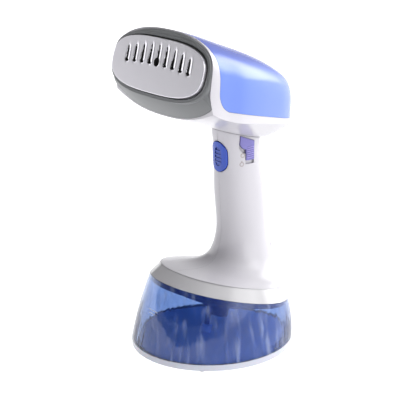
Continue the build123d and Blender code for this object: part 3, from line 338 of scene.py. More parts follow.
def moulded_plastic(
    name, colour, roughness, grain_mm=1.2, grain=0.01, coat=0.0, subsurface=0.0, shine=0.5,
    top=None, painted_groove_shade=None,
):
    """Injection-moulded plastic: an even colour, a faint orange-peel, soft edges and a soft gloss.

    top is a deeper colour for the upper faces and the groove colour a darker one for the bottom of narrow
    grooves; both are painted shade.
    """
    flow_mm = 45.0
    corner_mm = 0.45
    peel_height_mm = 0.2
    groove_mm = 2.2
    under_skin_mm = 2.0
    material, tree = new_material(name)
    place = add_node(tree, "ShaderNodeTexCoord")
    peel = add_node(
        tree,
        "ShaderNodeTexNoise",
        {"Vector": place.outputs["Object"], "Scale": 1.0 / (grain_mm * MM), "Detail": 2.0, "Roughness": 0.5},
    )
    # The colour drifts a little over a few centimetres, as the melt flowed.
    flow = add_node(
        tree,
        "ShaderNodeTexNoise",
        {"Vector": place.outputs["Object"], "Scale": 1.0 / (flow_mm * MM), "Detail": 0.0},
    )
    corner = add_node(tree, "ShaderNodeBevel", {"Radius": corner_mm * MM}, samples=4)
    bump = add_node(
        tree,
        "ShaderNodeBump",
        {"Height": peel.outputs["Fac"], "Strength": grain, "Distance": peel_height_mm * MM,
         "Normal": corner.outputs["Normal"]},
    )
    base = tuple(colour)
    deep = tuple(c * 0.985 for c in base[:3]) + (1.0,)
    tone = add_node(tree, "ShaderNodeValToRGB", {"Fac": flow.outputs["Fac"]})
    set_stops(tone, (0.2, deep), (0.8, base))
    tint = tone.outputs["Color"]
    if top is not None:
        # Painted shade: the upper faces take a deeper tone, as if they faced a dim ceiling.
        way = add_node(tree, "ShaderNodeNewGeometry")
        upward = add_node(tree, "ShaderNodeSeparateXYZ", {0: way.outputs["Normal"]})
        share = add_node(
            tree,
            "ShaderNodeMapRange",
            {"Value": upward.outputs["Z"], "From Min": 0.45, "From Max": 0.95, "To Min": 0.0, "To Max": 1.0},
            interpolation_type="SMOOTHSTEP",
        )
        painted_top_shade = add_node(
            tree, "ShaderNodeMix", {0: share.outputs["Result"], 6: tint, 7: tuple(top)}, data_type="RGBA"
        )
        tint = painted_top_shade.outputs[2]
    if painted_groove_shade is not None:
        # Painted shade: narrow grooves are darkened towards their bottom, where little light reaches.
        reach = add_node(tree, "ShaderNodeAmbientOcclusion", {"Distance": groove_mm * MM}, samples=6)
        depth = add_node(
            tree,
            "ShaderNodeMapRange",
            {"Value": reach.outputs["AO"], "From Min": 0.35, "From Max": 0.95, "To Min": 0.0, "To Max": 1.0},
        )
        grooves = add_node(
            tree, "ShaderNodeMix", {0: depth.outputs["Result"], 6: tuple(painted_groove_shade), 7: tint}, data_type="RGBA"
        )
        tint = grooves.outputs[2]
    shader = add_node(
        tree,
        "ShaderNodeBsdfPrincipled",
        {
            "Base Color": tint,
            "Roughness": roughness,
            "Normal": bump.outputs["Normal"],
            "IOR": 1.53,
            "Specular IOR Level": shine,
            "Coat Weight": coat,
            "Coat Roughness": 0.06,
            "Subsurface Weight": subsurface,
            "Subsurface Scale": under_skin_mm * MM,
        },
    )
    add_node(tree, "ShaderNodeOutputMaterial", {"Surface": shader.outputs[0]})
    return material


def brushed_metal(name, colour, roughness, grain_mm=0.6, stretch=12.0, grain=0.05):
    """Rolled or brushed metal, with fine lines along X. A stretch of 1 gives a cast skin.

    Real rolling lines are finer than a tenth of a millimetre: they are drawn coarser, so that they show.
    """
    line_height_mm = 0.1
    material, tree = new_material(name)
    place = add_node(tree, "ShaderNodeTexCoord")
    drawn = add_node(
        tree, "ShaderNodeMapping", {"Vector": place.outputs["Object"], "Scale": (1.0 / stretch, 1.0, 1.0)}
    )
    lines = add_node(
        tree,
        "ShaderNodeTexNoise",
        {"Vector": drawn.outputs[0], "Scale": 1.0 / (grain_mm * MM), "Detail": 3.0, "Roughness": 0.6},
    )
    bump = add_node(
        tree,
        "ShaderNodeBump",
        {"Height": lines.outputs["Fac"], "Strength": grain, "Distance": line_height_mm * MM},
    )
    gloss = add_node(
        tree,
        "ShaderNodeMapRange",
        {"Value": lines.outputs["Fac"], "From Min": 0.3, "From Max": 0.7, "To Min": roughness * 0.95,
         "To Max": roughness * 1.05},
    )
    shader = add_node(
        tree,
        "ShaderNodeBsdfPrincipled",
        {
            "Base Color": tuple(colour),
            "Metallic": 1.0,
            "Roughness": gloss.outputs["Result"],
            "Normal": bump.outputs["Normal"],
        },
    )
    add_node(tree, "ShaderNodeOutputMaterial", {"Surface": shader.outputs[0]})
    return material


def clear_plastic(name, colour, haze_colour, haze=0.09, roughness=0.05, ior=1.46):
    """Clear tinted plastic with upright ripples and a little haze, seen through."""
    ripple_mm = 7.0
    ripple_height_mm = 0.8  # higher than real ripples, so that they bend what shows through the wall
    streak_mm = 5.0
    material, tree = new_material(name)
    place = add_node(tree, "ShaderNodeTexCoord")
    upright = add_node(
        tree, "ShaderNodeMapping", {"Vector": place.outputs["Object"], "Scale": (1.0, 1.0, 0.16)}
    )
    ripple = add_node(
        tree,
        "ShaderNodeTexNoise",
        {"Vector": upright.outputs[0], "Scale": 1.0 / (ripple_mm * MM), "Detail": 1.0},
    )
    bump = add_node(
        tree,
        "ShaderNodeBump",
        {"Height": ripple.outputs["Fac"], "Strength": 0.35, "Distance": ripple_height_mm * MM},
    )
    clear = add_node(
        tree,
        "ShaderNodeBsdfPrincipled",
        {
            "Base Color": tuple(colour),
            "Roughness": roughness,
            "IOR": ior,
            "Transmission Weight": 1.0,
            "Normal": bump.outputs["Normal"],
        },
    )
    # The haze is stronger and paler in upright streaks.
    streaks = add_node(
        tree, "ShaderNodeMapping", {"Vector": place.outputs["Object"], "Scale": (1.0, 1.0, 0.07)}
    )
    flow = add_node(
        tree,
        "ShaderNodeTexNoise",
        {"Vector": streaks.outputs[0], "Scale": 1.0 / (streak_mm * MM), "Detail": 1.0, "Roughness": 0.5},
    )
    share = add_node(
        tree,
        "ShaderNodeMapRange",
        {"Value": flow.outputs["Fac"], "From Min": 0.5, "From Max": 0.75, "To Min": haze,
         "To Max": haze + 0.16},
    )
    milk = add_node(tree, "ShaderNodeValToRGB", {"Fac": flow.outputs["Fac"]})
    set_stops(milk, (0.5, tuple(haze_colour)), (0.72, linear("#B9C8EE")))
    cloudy = add_node(
        tree,
        "ShaderNodeBsdfPrincipled",
        {"Base Color": milk.outputs["Color"], "Roughness": 0.12, "IOR": ior, "Coat Weight": 0.2},
    )
    mixed = add_node(
        tree,
        "ShaderNodeMixShader",
        {0: share.outputs["Result"], 1: clear.outputs[0], 2: cloudy.outputs[0]},
    )
    add_node(tree, "ShaderNodeOutputMaterial", {"Surface": mixed.outputs[0]})
    return material


def light_table(name, glow):
    """A pale matt sheet that is lit from below, as a shooting table is."""
    mottle_mm = 400.0
    material, tree = new_material(name)
    place = add_node(tree, "ShaderNodeTexCoord")
    mottle = add_node(
        tree,
        "ShaderNodeTexNoise",
        {"Vector": place.outputs["Object"], "Scale": 1.0 / (mottle_mm * MM), "Detail": 1.0},
    )
    tone = add_node(tree, "ShaderNodeValToRGB", {"Fac": mottle.outputs["Fac"]})
    set_stops(tone, (0.3, linear("#BFBFC2")), (0.7, linear("#C6C6C8")))
    shader = add_node(
        tree,
        "ShaderNodeBsdfPrincipled",
        {
            "Base Color": tone.outputs["Color"],
            "Roughness": 0.7,
            "Specular IOR Level": 0.1,
            "Emission Color": (1.0, 1.0, 1.0, 1.0),
            "Emission Strength": glow,
        },
    )
    add_node(tree, "ShaderNodeOutputMaterial", {"Surface": shader.outputs[0]})
    return material


def lid_plastic(colours):
    """Navy ABS, moulded, for the lid and all that hangs from it: one dark mass through the tank's wall."""
    name = "navy_abs_moulded"
    return bpy.data.materials.get(name) or moulded_plastic(name, colours.navy, 0.3)


def starting_with(*heads):
    """The names of the nodes that start with any of these words."""
    return [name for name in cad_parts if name.startswith(heads)]


def dress(names, material):
    """Give carried-over nodes one material."""
    for name in names:
        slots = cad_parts[name].data.materials
        slots.clear()
        slots.append(material)


# ---------------------------------------------------------------------
# shapes
# ---------------------------------------------------------------------
def new_piece(name, bm, body, *materials):
    """A finished piece from a bmesh, at the origin, riding on a body, with its sharp edges marked."""
    mesh = bpy.data.meshes.new(name)
    for face in bm.faces:
        face.smooth = True
    for item in bm.edges:
        item.smooth = item.calc_face_angle(0.0) < SHARP_ANGLE
    bm.to_mesh(mesh)
    bm.free()
    piece = bpy.data.objects.new(name, mesh)
    bpy.context.scene.collection.objects.link(piece)
    for material in materials:
        mesh.materials.append(material)
    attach(piece, body)
    return piece


def smoothstep(low, high, value):
    """0 below low, 1 above high, and a smooth rise between them."""
    share = min(max((value - low) / (high - low), 0.0), 1.0)
    return share * share * (3.0 - 2.0 * share)


def edges_of(verts):
    """The edges that end at these verts."""
    return list({item for vert in verts for item in vert.link_edges})


def surface_of(node):
    """The surface of a carried-over node, for pieces that lie on it."""
    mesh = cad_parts[node].data
    return BVHTree.FromPolygons(
        [vert.co for vert in mesh.vertices], [tuple(face.vertices) for face in mesh.polygons]
    )


def lay_on(verts, surface, outside):
    """Lay flat verts on a surface, seen from outside: x goes along it, y up, and z stands out of it."""
    for vert in verts:
        along, up, rise = vert.co
        if abs(outside.x) > 0.5:
            start = Vector((REACH * outside.x, along, up))
        else:
            start = Vector((along, REACH * outside.y, up))
        hit = surface.ray_cast(start, -outside)[0]
        if hit is None:
            raise RuntimeError("a mark lies off its surface")
        vert.co = hit + outside * rise


def strip_on(bm, surface, outside, along, up, proud):
    """A low round-topped strip on a surface: its long and short edges sink a little into it."""
    last = len(STRIP_ROWS) - 1
    made = bmesh.ops.create_grid(bm, x_segments=STRIP_COLUMNS, y_segments=last, size=0.5)["verts"]
    for vert in made:
        share = vert.co.x + 0.5
        across, rise = STRIP_ROWS[round((vert.co.y + 0.5) * last)]
        if min(share, 1.0 - share) < 0.5 / STRIP_COLUMNS:
            rise = SUNK
        vert.co = Vector((
            along[0] + (along[1] - along[0]) * share,
            up[0] + (up[1] - up[0]) * across,
            proud * rise,
        ))
    lay_on(made, surface, outside)


def ring_on(bm, surface, outside, middle, radius, width, proud):
    """A low round-topped ring on a surface."""
    loops = []
    for share, rise in RING_ROWS:
        made = bmesh.ops.create_circle(bm, segments=RING_SEGMENTS, radius=radius + share * width)["verts"]
        bmesh.ops.translate(bm, vec=(middle[0], middle[1], rise * proud), verts=made)
        loops.append((made, edges_of(made)))
    for (_, first), (_, second) in zip(loops, loops[1:]):
        bmesh.ops.bridge_loops(bm, edges=first + second)
    lay_on([vert for made, _ in loops for vert in made], surface, outside)


def at_rim(x, back, up):
    """A point given in millimetres from the middle of the tank's rim, along its plane and out of it."""
    return RIM_MIDDLE + (Vector((x, 0.0, 0.0)) + RIM_BACK * back + RIM_UP * up) * MM


def in_millimetres(settings):
    """The plate's sizes as plain numbers, its lengths in millimetres."""
    lengths = ("half_width", "half_height", "edge", "depth", "pitch", "slot_foot", "slot_tip", "port")
    plain = {name: getattr(settings, name) / MM for name in lengths}
    return SimpleNamespace(exponent=settings.exponent, slots=settings.slots, **plain)


def slot_ends(sizes, x):
    """The foot and tip of a slot at x: the slots follow the plate's curve."""
    return sizes.slot_foot - FOOT_CURVE * x * x, sizes.slot_tip - TIP_CURVE * x * x


def slot_half(share):
    """Half the slot's width, at a share of its length from the foot: a drop with its tip up."""
    if share < 0.0 or share > 1.0:
        return 0.0
    body = SLOT_TIP + (SLOT_FOOT - SLOT_TIP) * (1.0 - share) ** SLOT_TAPER
    foot = min(1.0, math.sqrt(share / SLOT_ROUNDING))
    return body * foot


def plate_sink(sizes, x, v):
    """How deep the pressed plate lies behind its face at a point: pits, ramps and ridges."""
    sink = 0.0
    first = round(x / sizes.pitch) - 1
    for number in (first, first + 1):
        if abs(number) > (sizes.slots - 1) // 2:
            continue
        centre = number * sizes.pitch
        foot, tip = slot_ends(sizes, centre)
        share = (v - foot) / (tip - foot)
        across = x - centre
        half = slot_half(share)
        if number == 0 and math.hypot(across, v - foot - PORT_RISE) < sizes.port:
            return PIT_DEPTH
        if number and math.hypot((across - HOOK_SHIFT) / HOOK_HALF, (v - foot) / HOOK_RISE - 1.0) < 1.0:
            return PIT_DEPTH
        if abs(across) < half:
            return PIT_DEPTH
        fade = smoothstep(*RAMP_START, share) * (1.0 - smoothstep(*RAMP_END, share))
        past = across - half
        if 0.0 <= past < RAMP_WIDTH:
            rise = past / RAMP_WIDTH
            sink += fade * (RAMP_DEPTH * (1.0 - rise) - RIDGE_HEIGHT * rise)
        elif RAMP_WIDTH <= past < RAMP_WIDTH + RIDGE_WIDTH:
            sink -= fade * RIDGE_HEIGHT * (1.0 - (past - RAMP_WIDTH) / RIDGE_WIDTH)
        elif -half - LIP_WIDTH < across < -half:
            sink += LIP_DEPTH * fade * smoothstep(-half - LIP_WIDTH, -half, across)
    return sink


def press_face(bm, sizes):
    """The plate's face, drawn in to its outline and pressed. What lies below the metal takes slot 1, a
    near-black painted shade.
    """
    width = sizes.half_width - sizes.edge
    height = sizes.half_height - sizes.edge
    power = sizes.exponent
    bmesh.ops.create_grid(bm, x_segments=PLATE_COLUMNS, y_segments=PLATE_ROWS, size=1.0)
    for vert in bm.verts:
        s, t = vert.co.x, vert.co.y
        far = max(abs(s), abs(t)) or 1.0
        pull = max(abs(s / far) ** power + abs(t / far) ** power, 1.0) ** (-1.0 / power)
        x, v = s * width * pull, t * height * pull
        vert.co = Vector((x, v, -plate_sink(sizes, x, v)))
    for face in bm.faces:
        if min(vert.co.z for vert in face.verts) < -METAL_DEPTH:
            face.material_index = 1


def roll_edge(bm, sizes):
    """Roll the face's edge back, let the skirt down from it and close the back."""
    edge = sizes.edge
    width = sizes.half_width - edge
    height = sizes.half_height - edge
    power = sizes.exponent
    rim = [item for item in bm.edges if item.is_boundary]
    turns = [math.radians(angle) for angle in EDGE_TURNS]
    steps = [(edge * math.sin(turn), edge * (1.0 - math.cos(turn))) for turn in turns]
    steps.append((edge, sizes.depth))
    out, back = 0.0, 0.0
    for next_out, next_back in steps:
        made = bmesh.ops.extrude_edge_only(bm, edges=rim)["geom"]
        rim = [item for item in made if isinstance(item, bmesh.types.BMEdge) and item.is_boundary]
        for vert in {vert for item in rim for vert in item.verts}:
            x, v = vert.co.x, vert.co.y
            outward = Vector((
                math.copysign(abs(x / width) ** (power - 1.0) / width, x),
                math.copysign(abs(v / height) ** (power - 1.0) / height, v),
                0.0,
            )).normalized()
            vert.co += outward * (next_out - out) - Vector((0.0, 0.0, next_back - back))
        out, back = next_out, next_back
    bmesh.ops.holes_fill(bm, edges=rim)
    bmesh.ops.recalc_face_normals(bm, faces=bm.faces)


# ---------------------------------------------------------------------
# operators
# ---------------------------------------------------------------------
class STEAMER_OT_mouldings(bpy.types.Operator):
    """Paint the outer mouldings"""

    bl_idname = "steamer.mouldings"
    bl_label = "Paint the outer mouldings"

    def execute(self, context):
        colours = context.scene.steamer_colours
        # White ABS, moulded satin: broad soft lights, and a painted grey shade in its grooves.
        white = moulded_plastic(
            "white_abs_moulded", colours.shell, 0.28, coat=0.25, painted_groove_shade=linear("#9A98A0")
        )
        dress(["head_shell", "grip_left", "grip_right"], white)
        # Blue ABS from a polished mould: a clear highlight on its shoulder, and a painted shade that deepens
        # the tone on top.
        cover = moulded_plastic("blue_abs_polished", colours.cover, 0.22, shine=0.3, top=colours.painted_cover_top_shade)
        dress(["head_cover"], cover)
        # Grey ABS, moulded satin: an even grey with a dull light.
        dress(["head_bezel"], moulded_plastic("grey_abs_moulded", colours.front_frame, 0.34))
        # Pearl ABS from a polished mould: a harder light than on the white beside it.
        dress(["trim_ring"], moulded_plastic("pearl_abs_polished", linear("#B8B7BA"), 0.22, coat=0.4))
        # Deep blue ABS, moulded: small bright lights on its crown, and a painted dark shade in the grooves
        # between its ribs.
        trigger = moulded_plastic(
            "trigger_abs_moulded", colours.trigger, 0.22, coat=0.15, painted_groove_shade=linear("#0A2070")
        )
        dress(["steam_trigger"], trigger)
        # The same blue from a polished mould, a little glossier.
        dress(["release_button"], moulded_plastic("button_abs_polished", colours.trigger, 0.22, coat=0.3))
        # Lilac ABS, moulded satin: a soft light, and a painted dark shade in the gaps between its ribs.
        slider = moulded_plastic("slider_abs_moulded", colours.slider, 0.3, painted_groove_shade=linear("#3C3570"))
        dress(["lock_slider"], slider)
        # Milky ABS, moulded: light goes a little way into it, which softens its edge.
        base = moulded_plastic("milky_abs_moulded", linear("#BEC0CC"), 0.2, subsurface=0.2)
        dress(["tank_base"], base)
        return {"FINISHED"}


class STEAMER_OT_plate(bpy.types.Operator):
    """Press the steam plate with its channels, slots and round port"""

    bl_idname = "steamer.plate"
    bl_label = "Press the steam plate"

    def execute(self, context):
        sizes = in_millimetres(context.scene.steamer_plate)
        bm = bmesh.new()
        press_face(bm, sizes)
        roll_edge(bm, sizes)
        edge = sizes.edge
        height = sizes.half_height - edge
        low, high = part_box("steam_plate")
        c, s = math.cos(HEAD_TILT), math.sin(HEAD_TILT)
        middle = Vector((
            0.0,
            low.y - (edge * c - height * s - edge) * MM,
            high.z - (height * c - edge * s + edge) * MM,
        ))
        axes = Matrix((RIGHT, PLATE_UP, PLATE_NORMAL)).transposed().to_4x4()
        place = Matrix.Translation(middle) @ axes @ Matrix.Scale(MM, 4)
        bmesh.ops.transform(bm, matrix=place, verts=bm.verts)
        # Rolled aluminium, anodised: a pale satin sheen, drawn a little from side to side.
        metal = brushed_metal("anodised_aluminium_rolled", linear("#F1EFF6"), 0.30, grain=0.012)
        # Painted shade: a near-black colour on the pits stands in for the unlit steam chamber behind the
        # plate, so the slots look almost black.
        dark = moulded_plastic("painted_slot_shade", linear("#0C0A0C"), 0.6)
        plate = new_piece("pressed_steam_plate", bm, BODY, metal, dark)
        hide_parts("steam_plate")
        return {"FINISHED"}


class STEAMER_OT_tank(bpy.types.Operator):
    """Paint the clear tank, its lid and the parts in it"""

    bl_idname = "steamer.tank"
    bl_label = "Paint the tank"

    def execute(self, context):
        colours = context.scene.steamer_colours
        # Clear blue SAN, moulded: deeper where two walls overlap, with pale upright streaks.
        dress(["tank_body"], clear_plastic("clear_blue_san_moulded", colours.tank, colours.tank_haze))
        dress(["tank_lid", "tank_coupling", "tank_catch"], lid_plastic(colours))
        # Navy silicone, moulded: as dark as the lid, but dull.
        dress(["tank_lid_seal"], moulded_plastic("navy_silicone_moulded", colours.navy, 0.5))
        # Pale silicone, moulded: a dull, pale grey.
        dress(["filler_stopper"], moulded_plastic("pale_silicone_moulded", linear("#C4C8D0"), 0.5))
        # Blue silicone, extruded: a dull blue that hardly shows through the wall.
        dress(["suction_tube"], moulded_plastic("blue_silicone_extruded", linear("#2C439C"), 0.5))
        # Blue nylon mesh, woven: deep in the tank it reads as an even, dull blue.
        dress(["suction_filter"], moulded_plastic("blue_nylon_woven", linear("#6E9CF0"), 0.6))
        return {"FINISHED"}


class STEAMER_OT_tank_floor(bpy.types.Operator):
    """Lay the frosted floor in the tank"""

    bl_idname = "steamer.tank_floor"
    bl_label = "Lay the tank's frosted floor"

    def execute(self, context):
        surface = surface_of("tank_body")
        floor = surface.ray_cast(FLOOR_PROBE, DOWN)[0].z
        middle = Vector((0.0, 0.0, floor + WALL_HEIGHT * MM))
        across = surface.ray_cast(middle, RIGHT)[0].x - FROST_GAP * MM
        along = surface.ray_cast(middle, BACK)[0].y - FROST_GAP * MM
        bm = bmesh.new()
        bmesh.ops.create_circle(bm, cap_ends=True, segments=ROUND_SEGMENTS, radius=1.0)
        bmesh.ops.scale(bm, vec=(across, along, 1.0), verts=bm.verts)
        bmesh.ops.translate(bm, vec=(0.0, 0.0, floor + FROST_LIFT * MM), verts=bm.verts)
        bmesh.ops.solidify(bm, geom=bm.faces, thickness=FROST_THICKNESS * MM)
        bmesh.ops.recalc_face_normals(bm, faces=bm.faces)
        # Blue SAN, blasted: it scatters the light, so the floor is an even, pale blue.
        blasted = moulded_plastic("blue_san_frosted", context.scene.steamer_colours.frost, 0.6)
        frost = new_piece("tank_floor_frost", bm, TANK, blasted)
        return {"FINISHED"}


class STEAMER_OT_lid_well(bpy.types.Operator):
    """Hang the well and the valve under the tank's lid"""

    bl_idname = "steamer.lid_well"
    bl_label = "Hang the well and the valve"

    def execute(self, context):
        navy = lid_plastic(context.scene.steamer_colours)

        # The well goes round the coupling and stops short of the filler.
        outer = (WELL_RADIUS, 0.0, WELL_REAR)
        inner = (COUPLING_BORE, COUPLING_SHIFT, COUPLING_BORE)
        bm = bmesh.new()
        loops = []
        for drop in (LID_UNDERSIDE, WELL_BOTTOM):
            for radius, shift, rear in (outer, inner):
                made = bmesh.ops.create_circle(bm, segments=ROUND_SEGMENTS, radius=1.0)["verts"]
                for vert in made:
                    back = vert.co.y * (rear if vert.co.y > 0.0 else radius) + shift
                    vert.co = at_rim(vert.co.x * radius, back, -drop)
                loops.append(edges_of(made))
        outer_top, inner_top, outer_low, inner_low = loops
        for first, second in (
            (outer_top, outer_low), (outer_low, inner_low), (inner_low, inner_top), (inner_top, outer_top)
        ):
            bmesh.ops.bridge_loops(bm, edges=first + second)
        bmesh.ops.bevel(
            bm, geom=outer_low, offset=WELL_EDGE * MM, segments=EDGE_SEGMENTS, profile=0.5,
            affect="EDGES", material=-1,
        )
        bmesh.ops.recalc_face_normals(bm, faces=bm.faces)
        well = new_piece("lid_well", bm, TANK, navy)

        radius = VALVE_RADIUS * MM
        depth = (VALVE_BOTTOM - WELL_BOTTOM) * MM
        bm = bmesh.new()
        bmesh.ops.create_cone(
            bm, cap_ends=True, segments=VALVE_SEGMENTS, radius1=radius, radius2=radius, depth=depth
        )
        lowest = [item for item in bm.edges if all(vert.co.z < 0.0 for vert in item.verts)]
        bmesh.ops.bevel(
            bm, geom=lowest, offset=VALVE_EDGE * MM, segments=EDGE_SEGMENTS, profile=0.5,
            affect="EDGES", material=-1,
        )
        middle = at_rim(0.0, VALVE_SHIFT, -0.5 * (VALVE_BOTTOM + WELL_BOTTOM) + VALVE_OVERLAP)
        axes = Matrix((RIGHT, RIM_BACK, RIM_UP)).transposed().to_4x4()
        bmesh.ops.transform(bm, matrix=Matrix.Translation(middle) @ axes, verts=bm.verts)
        valve = new_piece("lid_valve", bm, TANK, navy)
        return {"FINISHED"}


class STEAMER_OT_slider_ribs(bpy.types.Operator):
    """Lay the ribs on the lock slider"""

    bl_idname = "steamer.slider_ribs"
    bl_label = "Lay the slider's ribs"

    def execute(self, context):
        low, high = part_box("lock_slider")
        surface = surface_of("lock_slider")
        far, near = RIB_ENDS
        along = (high.y - far * MM, high.y - near * MM)
        bm = bmesh.new()
        for number in range(SLIDER_RIBS):
            z = low.z + (RIB_FIRST + number * RIB_PITCH) * MM
            strip_on(bm, surface, RIGHT, along, (z, z + RIB_WIDTH * MM), RIB_PROUD * MM)
        # Lilac ABS, moulded: the ribs are a shade paler than the slider.
        lilac = moulded_plastic("slider_rib_abs_moulded", context.scene.steamer_colours.slider_rib, 0.3)
        ribs = new_piece("slider_ribs", bm, SLIDER, lilac)
        return {"FINISHED"}


class STEAMER_OT_marks(bpy.types.Operator):
    """Lay the plain marks beside the slider and on the tank's front"""

    bl_idname = "steamer.marks"
    bl_label = "Lay the marks"

    def execute(self, context):
        surface = surface_of("grip_right")
        bm = bmesh.new()
        radius, width, proud = MARK_RADIUS * MM, MARK_WIDTH * MM, MARK_PROUD * MM
        for y, z in MARK_RINGS:
            ring_on(bm, surface, RIGHT, (y * MM, z * MM), radius, width, proud)
        along = [y * MM for y in TICK_ALONG]
        up = [z * MM for z in TICK_UP]
        strip_on(bm, surface, RIGHT, along, up, proud)
        # Warm grey ABS, moulded: faint lines with a soft light along their tops.
        grey = moulded_plastic("mark_abs_moulded", linear("#A59C9C"), 0.4)
        marks = new_piece("slider_marks", bm, BODY, grey)

        surface = surface_of("tank_body")
        bm = bmesh.new()
        for left, right, z in LEVELS:
            along = (left * MM, right * MM)
            strip_on(bm, surface, FRONT, along, (z * MM, (z + LEVEL_WIDTH) * MM), LEVEL_PROUD * MM)
        # White ink, printed: thin matt lines on the clear wall.
        ink = moulded_plastic("white_ink_printed", linear("#C9D0E8"), 0.5)
        marks = new_piece("level_marks", bm, TANK, ink)
        return {"FINISHED"}


class STEAMER_OT_inner(bpy.types.Operator):
    """Paint the inner parts"""

    bl_idname = "steamer.inner"
    bl_label = "Paint the inner parts"

    def execute(self, context):
        colours = context.scene.steamer_colours
        # Black rubber, moulded: near black and dull, with a grainy skin.
        rubber = moulded_plastic("black_rubber_moulded", linear("#1B1B1D"), 0.65, grain=0.06)
        dress(starting_with("tank_foot", "foot_ring", "coupling_seal", "plate_gasket", "pump_mount"), rubber)
        # ABS without pigment, moulded: a warm, pale grey.
        natural = moulded_plastic("natural_abs_moulded", linear("#D2D2CE"), 0.45)
        dress(["body_floor", "coupling_spigot", "switch_bracket", "slider_clip", "boiler_carrier"], natural)
        # Ceramic, fired: cream and dull.
        dress(["thermal_fuse"], moulded_plastic("cream_ceramic_fired", linear("#D9D4C4"), 0.5))
        # White nylon, moulded: as white as the shell, but duller.
        dress(["cord_gland"], moulded_plastic("white_nylon_moulded", colours.shell, 0.45))
        # Black nylon, moulded: the dark, dull housings of bought-in parts.
        black = moulded_plastic("black_nylon_moulded", linear("#151517"), 0.45)
        dress(["micro_switch", "water_pump", "thermostat", "board_relay"], black)
        # Pale silicone, extruded: a soft light along the hose.
        hose = moulded_plastic("hose_silicone_extruded", linear("#D5D9DE"), 0.4)
        dress(["pump_inlet_hose", "pump_outlet_hose"], hose)
        # Aluminium, cast: a dull grey with a grain that runs no way.
        cast = brushed_metal("aluminium_cast", linear("#A9A9AB"), 0.5, grain_mm=1.0, stretch=1.0, grain=0.2)
        dress(["boiler", "boiler_lid"], cast)
        # Steel, drawn: a bright, smooth light along each wire and screw.
        steel = brushed_metal("steel_drawn", linear("#9D9EA0"), 0.25)
        dress(starting_with("grip_screw", "boiler_screw", "trigger_spring", "latch_spring"), steel)
        # Steel that has been hot: browner and duller.
        dress(["heating_element"], brushed_metal("heater_steel_drawn", linear("#6E6863"), 0.45))
        # Glass laminate under a green mask: a flat, even light.
        dress(["control_board"], moulded_plastic("board_laminate_masked", linear("#1D5A36"), 0.35))
        return {"FINISHED"}


def lay_table(scene, glow):
    """A round table with a brim, which hides the horizon."""
    mesh = bpy.data.meshes.new("floor")
    bm = bmesh.new()
    bmesh.ops.create_circle(bm, cap_ends=True, segments=ROUND_SEGMENTS, radius=TABLE_RADIUS)
    made = bmesh.ops.extrude_edge_only(bm, edges=bm.edges[:])["geom"]
    brim = [item for item in made if isinstance(item, bmesh.types.BMVert)]
    bmesh.ops.translate(bm, vec=(0.0, 0.0, TABLE_BRIM), verts=brim)
    bmesh.ops.translate(bm, vec=(0.0, 0.0, -TABLE_DROP), verts=bm.verts)
    bm.to_mesh(mesh)
    bm.free()
    floor = bpy.data.objects.new("floor", mesh)
    scene.collection.objects.link(floor)
    # White acrylic with a matt skin, lit from below: an even white that takes hardly any shadow.
    floor.data.materials.append(light_table("white_acrylic_matt", glow))


def strength_towards(tree, direction, part, low, high):
    """A strength that goes from low, away from a part of the studio, to high towards it."""
    toward, start, full = part
    facing = add_node(
        tree, "ShaderNodeVectorMath", {0: direction, 1: Vector(toward).normalized()}, operation="DOT_PRODUCT"
    )
    share = add_node(
        tree,
        "ShaderNodeMapRange",
        {"Value": facing.outputs["Value"], "From Min": start, "From Max": full, "To Min": low,
         "To Max": high},
        interpolation_type="SMOOTHSTEP",
    )
    return share.outputs["Result"]


def light_studio(scene, settings):
    """A white studio, brighter behind the steamer's right side, with cards, a window and a softbox."""
    world = bpy.data.worlds.new("studio")
    scene.world = world
    world.use_nodes = True
    tree = world.node_tree
    tree.nodes.clear()
    direction = add_node(tree, "ShaderNodeTexCoord").outputs["Generated"]
    away, towards = SKY_SHARES
    total = strength_towards(tree, direction, BRIGHT_SIDE, settings.sky * away, settings.sky * towards)
    # The ceiling is dimmer than the walls, and behind the camera the studio is dark.
    for part, share in ((CEILING, CEILING_SHARE), (DARK_END, DARK_SHARE)):
        dimmed = strength_towards(tree, direction, part, 1.0, share)
        total = add_node(tree, "ShaderNodeMath", {0: total, 1: dimmed}, operation="MULTIPLY").outputs[0]
    for part, strength in (
        (LEFT_CARD, settings.card),
        (WINDOW, settings.window),
        (SIDE_CARD, settings.side_card),
        (SOFTBOX, settings.softbox),
        (BACKLIGHT, settings.backlight),
    ):
        lit = strength_towards(tree, direction, part, 0.0, strength)
        total = add_node(tree, "ShaderNodeMath", {0: total, 1: lit}, operation="ADD").outputs[0]
    light = add_node(tree, "ShaderNodeBackground", {"Color": (1.0, 1.0, 1.0, 1.0), "Strength": total})
    add_node(tree, "ShaderNodeOutputWorld", {"Surface": light.outputs[0]})


def aim(item, place, target):
    """Put a lamp or a camera at a place, turned to its target."""
    item.location = place
    item.rotation_euler = (target - place).to_track_quat("-Z", "Y").to_euler()
    bpy.context.scene.collection.objects.link(item)


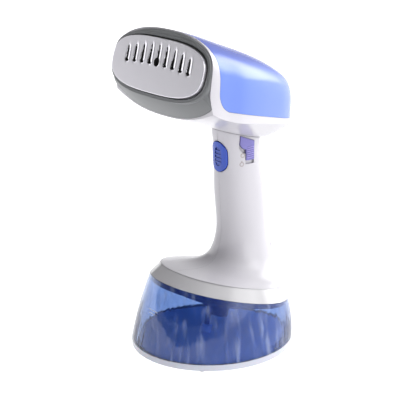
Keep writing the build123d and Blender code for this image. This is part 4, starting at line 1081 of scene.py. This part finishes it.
class STEAMER_OT_stage(bpy.types.Operator):
    """Set the table, the lights and the camera"""

    bl_idname = "steamer.stage"
    bl_label = "Set the stage"

    def execute(self, context):
        scene = context.scene
        settings = scene.steamer_stage
        lay_table(scene, settings.table)
        light_studio(scene, settings)

        light = bpy.data.lights.new("top_light", "AREA")
        light.size = LAMP_SIZE
        light.energy = settings.top
        aim(bpy.data.objects.new("top_light", light), LAMP_PLACE, LAMP_TARGET)

        camera = bpy.data.cameras.new("camera")
        camera.lens = settings.lens
        camera.sensor_width = SENSOR_WIDTH
        eye = bpy.data.objects.new("camera", camera)
        aim(eye, CAMERA_PLACE, CAMERA_TARGET)
        scene.camera = eye
        scene.view_settings.view_transform = "Standard"
        return {"FINISHED"}


class STEAMER_PT_panel(bpy.types.Panel):
    """Lists the steamer's operators"""

    bl_idname = "STEAMER_PT_panel"
    bl_label = "Garment steamer"
    bl_space_type = "VIEW_3D"
    bl_region_type = "UI"
    bl_category = "Steamer"

    def draw(self, context):
        for operator in OPERATORS:
            self.layout.operator(operator.bl_idname)


OPERATORS = (
    STEAMER_OT_mouldings,
    STEAMER_OT_plate,
    STEAMER_OT_tank,
    STEAMER_OT_tank_floor,
    STEAMER_OT_lid_well,
    STEAMER_OT_slider_ribs,
    STEAMER_OT_marks,
    STEAMER_OT_inner,
    STEAMER_OT_stage,
)
CLASSES = (SteamerColours, PlateSizes, StageSettings) + OPERATORS + (STEAMER_PT_panel,)


def register():
    for cls in CLASSES:
        bpy.utils.register_class(cls)
    bpy.types.Scene.steamer_colours = PointerProperty(type=SteamerColours)
    bpy.types.Scene.steamer_plate = PointerProperty(type=PlateSizes)
    bpy.types.Scene.steamer_stage = PointerProperty(type=StageSettings)


def unregister():
    del bpy.types.Scene.steamer_stage
    del bpy.types.Scene.steamer_plate
    del bpy.types.Scene.steamer_colours
    for cls in reversed(CLASSES):
        bpy.utils.unregister_class(cls)


def main():
    register()
    bpy.ops.steamer.mouldings()
    bpy.ops.steamer.plate()
    bpy.ops.steamer.tank()
    bpy.ops.steamer.tank_floor()
    bpy.ops.steamer.lid_well()
    bpy.ops.steamer.slider_ribs()
    bpy.ops.steamer.marks()
    bpy.ops.steamer.inner()
    bpy.ops.steamer.stage()


if __name__ == "__main__":
    main()
